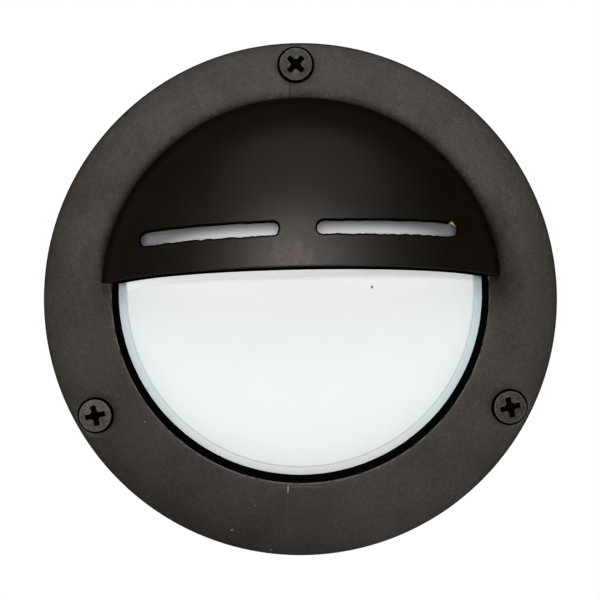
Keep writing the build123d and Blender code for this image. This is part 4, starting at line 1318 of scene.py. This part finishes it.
def array_piece(name, part, places, node, body):
    """One piece of copies of a part, on (place, turn) pairs, in place of a node's solids."""
    scene = bpy.context.scene
    finish = slot_finish(NODE_SLOTS[node], scene.light_finish)
    pattern = bpy.data.objects.new(f"{name}_pattern", part)
    scene.collection.objects.link(pattern)
    spots = bpy.data.meshes.new(f"{name}_places")
    spots.from_pydata([place for place, _ in places], [], [])
    turns = spots.attributes.new("turn", "FLOAT", "POINT")
    turns.data.foreach_set("value", [turn for _, turn in places])
    mesh = array_shaper().mesh(name, {"Part": pattern, "Scale": 1.0, "Finish": finish}, spots)
    bpy.data.objects.remove(pattern)
    piece(name, mesh, finish, body, NODE_SLOTS[node], node)


def solid_boxes(node):
    """Lowest and highest corner of each separate solid of a node, from left to right."""
    merged = bmesh.new()
    merged.from_mesh(frame["nodes"][node].data)
    bmesh.ops.remove_doubles(merged, verts=merged.verts, dist=SAME_CORNER)
    left = set(merged.verts)
    boxes = []
    while left:
        found = [left.pop()]
        for vert in found:
            near = {edge.other_vert(vert) for edge in vert.link_edges} & left
            found.extend(near)
            left -= near
        spots = np.array([vert.co for vert in found])
        boxes.append((Vector(spots.min(0)), Vector(spots.max(0))))
    merged.free()
    return sorted(boxes, key=lambda box: tuple(box[0] + box[1]))


def rounded_box(across, up, rounding):
    """Closed loop of (across, up) spots round a box with rounded corners."""
    spots = []
    for side, top in ((1, 1), (1, -1), (-1, -1), (-1, 1)):
        corner = Vector((side * across / 2, top * up / 2))
        aside, down = Vector((side * rounding, 0)), Vector((0, top * rounding))
        ends = (corner - aside, corner - down) if side == top else (corner - down, corner - aside)
        spots += bend(ends[0], corner, ends[1])
    return spots


class LIGHT_OT_small_screws(bpy.types.Operator):
    """Make the small slotted screws of the clips, tray, lampholder, terminals and earth point"""
    bl_idname = "wall_light.small_screws"
    bl_label = "Small Screws"

    # Height of the head and diameter of the shank in mm, side the head faces (1 is the wall), body
    screws = {"clip_screws": (1.4, 2.5, 1, "face"), "tray_screws": (1.8, 3.0, -1, "base"),
              "holder_screws": (1.4, 2.5, -1, "base"), "terminal_screws": (2.0, 2.6, -1, "base"),
              "terminal_fixing": (1.4, 2.5, -1, "base"), "earth_screw": (2.4, 4.0, -1, "base")}
    first_turn, next_turn = math.radians(25), math.radians(47)
    around, top_spacing = 32, 0.6 * MM
    under_round = 0.06 * MM
    head_round, head_fall = 0.35, 0.4  # rounding and width of the head's edge, of its height
    tip_share, tip_length = 0.7, 0.4  # radius and length of the tip, of the shank's radius
    slot_share, slot_round = 1.8, 0.4  # length of the slot, of the top's radius, and its rounding

    def execute(self, context):
        for node, (height, shank, side, body) in self.screws.items():
            height, shank = height * MM, shank * MM
            boxes = solid_boxes(node)
            low, high = boxes[0]
            screw = self.screw((high.x - low.x) / 2, height, shank / 2, high.y - low.y - height,
                               context.scene.light_inner)
            part = screw.mesh(f"{node}_pattern", SMALL_SHARP)
            if side > 0:
                part.transform(Matrix.Rotation(math.pi, 4, "X"))
            places = []
            for i, (low, high) in enumerate(boxes):
                place = (low + high) / 2
                place.y = high.y - height if side > 0 else low.y + height
                places.append((place, self.first_turn + i * self.next_turn))
            array_piece(f"{node}_slotted", part, places, node, body)
        return {"FINISHED"}

    def screw(self, head, height, shank, length, inner):
        """A pan-head screw along Y at the origin, with the underside of its head at out 0."""
        screw = Skin()
        crown = head - self.head_fall * height
        side = [(self.tip_share * shank, -length, 0), (shank, self.tip_length * shank - length, 0),
                (shank, 0, 0), (head, 0, self.under_round), (head, height, self.head_round * height),
                (crown, height, 0)]
        loops = screw.turn(soften(side, False), self.around, closed=False)
        screw.fan(loops[0], (0, length, 0))
        slot = rounded_box(self.slot_share * crown, inner.slot_width, self.slot_round * inner.slot_width)
        rows = [screw.level(slot, out) for out in (height, height - inner.slot_depth)]
        screw.bridge(*rows)
        screw.fan(rows[1], (0, inner.slot_depth - height, 0))
        screw.sheet([loops[-1], rows[0]], from_front, lambda u, v: (u, -height, v), self.top_spacing)
        return screw


class LIGHT_OT_clips(bpy.types.Operator):
    """Make the bent lens clips and the toothed keepers of the cover screws"""
    bl_idname = "wall_light.clips"
    bl_label = "Clips and Keepers"

    clip_turns = (60.0, 180.0, 300.0)
    clip_round = 0.4  # of half the clip's thickness
    keeper_around = 72
    gap_from = 0.3  # sine over which there is a gap between two teeth

    def execute(self, context):
        inner = context.scene.light_inner
        middle = Vector((0, 0, context.scene.light_face.opening_up))
        places = [(middle, math.radians(turn)) for turn in self.clip_turns]
        clip = self.clip(inner).mesh("lens_clip", SMALL_SHARP)
        array_piece("lens_clips_bent", clip, places, "lens_clips", "face")
        low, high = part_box("screw_keepers")
        keeper = self.keeper(inner, high.y - low.y).mesh("screw_keeper", SMALL_SHARP)
        places = [(Vector((place.x, high.y, place.z)), i) for i, place in enumerate(SCREW_PLACES.values())]
        array_piece("screw_keepers_toothed", keeper, places, "screw_keepers", "face")
        return {"FINISHED"}

    def clip(self, inner):
        """A strip bent to a Z, from its toe behind the lens to its foot on the ring's back."""
        low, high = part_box("lens_clips")
        half = inner.clip_thickness / 2
        toe_out, foot_out = -high.y + half, -low.y - half
        path = soften([(inner.clip_toe, toe_out, 0), (inner.clip_riser, toe_out, inner.clip_bend),
                       (inner.clip_riser, foot_out, inner.clip_bend), (inner.clip_foot, foot_out, 0)],
                      False)
        section = rounded_box(inner.clip_width, inner.clip_thickness, self.clip_round * half)
        strip = Skin()
        loops = []
        for i, spot in enumerate(path):
            along = (path[min(i + 1, len(path) - 1)] - path[max(i - 1, 0)]).normalized()
            loops.append(strip.add([(u, -spot.y - v * along.x, spot.x - v * along.y) for u, v in section]))
        strip.bridge(*loops)
        for end in (0, -1):
            strip.fan(loops[end], (0, -path[end].y, path[end].x))
        return strip

    def keeper(self, inner, thickness):
        """A push-on washer with inward teeth along Y at the origin, its back at out 0."""
        low, high = solid_boxes("screw_keepers")[0]
        rim = (high.x - low.x) / 2
        washer = Skin()
        teeth = []
        for i in range(self.keeper_around):
            turn = 2 * math.pi * i / self.keeper_around
            gap = inner.keeper_gap if math.sin(inner.keeper_teeth * turn) > self.gap_from else 0.0
            radius = inner.keeper_bore / 2 + gap
            teeth.append((radius * math.sin(turn), radius * math.cos(turn)))
        loops = [washer.add(circle(rim, out, self.keeper_around)) for out in (0, thickness)]
        loops += [washer.level(teeth, out) for out in (thickness, 0)]
        washer.bridge(*loops, loops[0])
        return washer


class LIGHT_OT_chips(bpy.types.Operator):
    """Make the light-emitting chips on the lamp's board"""
    bl_idname = "wall_light.chips"
    bl_label = "Light-emitting Chips"

    corner_round = 0.2 * MM
    edge_fall, edge_width, window_slope = 0.08 * MM, 0.06 * MM, 0.05 * MM

    def execute(self, context):
        inner = context.scene.light_inner
        boxes = solid_boxes("lamp_leds")
        spots = [(low + high) / 2 for low, high in boxes]
        middle = sum(spots, Vector()) / len(spots)
        top = max(range(len(boxes)), key=lambda i: spots[i].z)
        size = boxes[top][1] - boxes[top][0]
        sunk = size.y - inner.chip_sink
        # Inset, distance from the board and share of the window
        rows = ((0, 0, 0), (0, size.y - self.edge_fall, 0), (self.edge_width, size.y, 0),
                (inner.chip_frame, size.y, 0), (inner.chip_frame + self.window_slope, sunk, 1))
        chip = Skin()
        loops = [chip.level(rounded_box(size.x - 2 * inset, size.z - 2 * inset, self.corner_round),
                            out, window) for inset, out, window in rows]
        chip.bridge(*loops)
        chip.fan(loops[0], (0, 0, 0))
        chip.fan(loops[-1], (0, -sunk, 0), 1.0)
        places = [(Vector((spot.x, boxes[0][1].y, spot.z)),
                   math.atan2(spot.x - middle.x, spot.z - middle.z)) for spot in spots]
        mesh = chip.mesh("lamp_led", SMALL_SHARP)
        array_piece("lamp_leds_cased", mesh, places, "lamp_leds", "lamp")
        return {"FINISHED"}


# Pieces that keep their solids
class LIGHT_OT_solid_finishes(bpy.types.Operator):
    """Give the pieces that keep their solids their finishes"""
    bl_idname = "wall_light.solid_finishes"
    bl_label = "Finishes of the Other Pieces"

    def execute(self, context):
        for node, name in NODE_SLOTS.items():
            finish = slot_finish(name, context.scene.light_finish)
            for slot in frame["nodes"][node].material_slots:
                slot.material = finish or slot.material
        return {"FINISHED"}


# Stage
class LIGHT_OT_stage(bpy.types.Operator):
    """Make the floor, the room, the lamps and the camera"""
    bl_idname = "wall_light.stage"
    bl_label = "Stage"

    image_px = 600
    ring_centre_px = (300.45, 300.3)
    ring_radius_px = 256.8
    sensor_width = 36.0
    # Name, place and size in m, watts
    lamps = (("front_soft", (-0.025, -1.5, 0.148), (0.3, 0.25), 11.5),
             ("over_soft", (0.05, -1.1, 0.9), (1.0, 0.8), 4.0))
    floor_reach, patch_size = 4.0, 300  # m, mm
    # Where the room turns from its left to its right colour, and to its white back
    side_fade, back_fade = (-0.8, 0.8), (0.5, 0.75)

    def execute(self, context):
        stage = context.scene.light_stage
        context.scene.view_settings.view_transform = "Standard"
        self.room(context, stage)
        self.floor(context, stage)
        for lamp in self.lamps:
            self.lamp(*lamp)
        self.camera(context, stage)
        return {"FINISHED"}

    def pictured(self, nodes):
        """1 for what is seen directly, in a reflection or through glass."""
        rays = nodes.add("ShaderNodeLightPath").outputs
        seen = Value(nodes, rays["Is Camera Ray"])
        for kind in ("Is Glossy Ray", "Is Transmission Ray"):
            seen = nodes.math("MAXIMUM", seen, Value(nodes, rays[kind]))
        return seen

    def room(self, context, stage):
        """A grey room that is white behind the light."""
        world = bpy.data.worlds.new("studio")
        world.use_nodes = True
        room = Nodes(world.node_tree)
        across, depth, _ = room.split(room.get("ShaderNodeTexCoord", output="Generated"))
        tone = across.ramp(*self.side_fade).mix(stage.room_left, stage.room_right)
        behind = self.pictured(room).mix(stage.room_back, stage.room_white)
        tone = depth.ramp(*self.back_fade).mix(tone, behind)
        room.put(room.nodes["Background"].inputs["Color"], tone)
        context.scene.world = world

    def floor(self, context, stage):
        """A pale, plain floor."""
        floor = Skin()
        reach, down, back = self.floor_reach, -stage.floor_down, stage.floor_back
        corners = ((-reach, -reach, down), (reach, -reach, down), (reach, back, down), (-reach, back, down))
        floor.faces.append(tuple(floor.add(corners)))
        paint = Finish("floor_paint", {"Roughness": 0.9})
        tone = paint.grain(self.patch_size).mix(stage.floor_colour, stage.floor_second)
        glow = self.pictured(paint) * stage.floor_glow
        made = bpy.data.objects.new("floor", floor.mesh("floor"))
        made.data.materials.append(paint.shape(Base_Color=tone, Emission_Color=tone, Emission_Strength=glow))
        context.scene.collection.objects.link(made)
        made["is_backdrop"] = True

    def lamp(self, name, spot, size, watts):
        light = bpy.data.lights.new(name, "AREA")
        light.shape = "RECTANGLE"
        light.size, light.size_y = size
        light.energy = watts
        made = bpy.data.objects.new(name, light)
        made.location = spot
        made.rotation_euler = (-Vector(spot)).to_track_quat("-Z", "Y").to_euler()
        bpy.context.scene.collection.objects.link(made)

    def camera(self, context, stage):
        face = context.scene.light_face
        target = Vector((0, -face.ring_back - face.rim_thickness, 0))
        rise = stage.camera_elevation
        away = Vector((0, -math.cos(rise), math.sin(rise)))
        turned = away.to_track_quat("Z", "Y") @ Matrix.Rotation(-stage.camera_roll, 3, "Z").to_quaternion()
        metres_per_px = face.ring_diameter / 2 / self.ring_radius_px
        right, up = turned @ Vector((1, 0, 0)), turned @ Vector((0, 1, 0))
        middle = self.image_px / 2
        aside = (self.ring_centre_px[0] - middle) * metres_per_px
        above = (middle - self.ring_centre_px[1]) * metres_per_px
        eye = bpy.data.cameras.new("photo_camera")
        eye.sensor_width = self.sensor_width
        eye.lens = eye.sensor_width * stage.camera_distance / (metres_per_px * self.image_px)
        made = bpy.data.objects.new("photo_camera", eye)
        made.rotation_mode = "QUATERNION"
        made.rotation_quaternion = turned
        made.location = target + away * stage.camera_distance - aside * right - above * up
        context.scene.collection.objects.link(made)
        context.scene.camera = made


OPERATORS = (LIGHT_OT_solid_finishes, LIGHT_OT_face_ring, LIGHT_OT_hood, LIGHT_OT_braze,
             LIGHT_OT_lens, LIGHT_OT_cover_screws, LIGHT_OT_small_screws, LIGHT_OT_clips,
             LIGHT_OT_chips, LIGHT_OT_stage)
SETTINGS = {"light_face": FaceSizes, "light_hood": HoodSizes, "light_lens": LensSizes,
            "light_screw": ScrewSizes, "light_inner": InnerSizes, "light_finish": FinishColours,
            "light_stage": StageSettings}


class LIGHT_PT_panel(bpy.types.Panel):
    """Lists the steps that make the wall light"""
    bl_idname = "LIGHT_PT_panel"
    bl_label = "Hooded Wall Light"
    bl_space_type = "VIEW_3D"
    bl_region_type = "UI"
    bl_category = "Wall Light"

    def draw(self, context):
        for operator in OPERATORS:
            self.layout.operator(operator.bl_idname)
        for name in SETTINGS:
            box = self.layout.box()
            group = getattr(context.scene, name)
            for setting in group.__annotations__:
                box.prop(group, setting)


def register():
    for kind in (*SETTINGS.values(), *OPERATORS, LIGHT_PT_panel):
        bpy.utils.register_class(kind)
    for name, kind in SETTINGS.items():
        setattr(bpy.types.Scene, name, PointerProperty(type=kind))


def unregister():
    for name in SETTINGS:
        delattr(bpy.types.Scene, name)
    for kind in (LIGHT_PT_panel, *reversed(OPERATORS), *SETTINGS.values()):
        bpy.utils.unregister_class(kind)


def main():
    register()
    for operator in OPERATORS:
        group, name = operator.bl_idname.split(".")
        getattr(getattr(bpy.ops, group), name)()
    boxes = {"solid": SOLID_BOX, "visual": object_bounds()}
    {name: [list(corner) for corner in box] for name, box in boxes.items()}


if __name__ == "__main__":
    main()
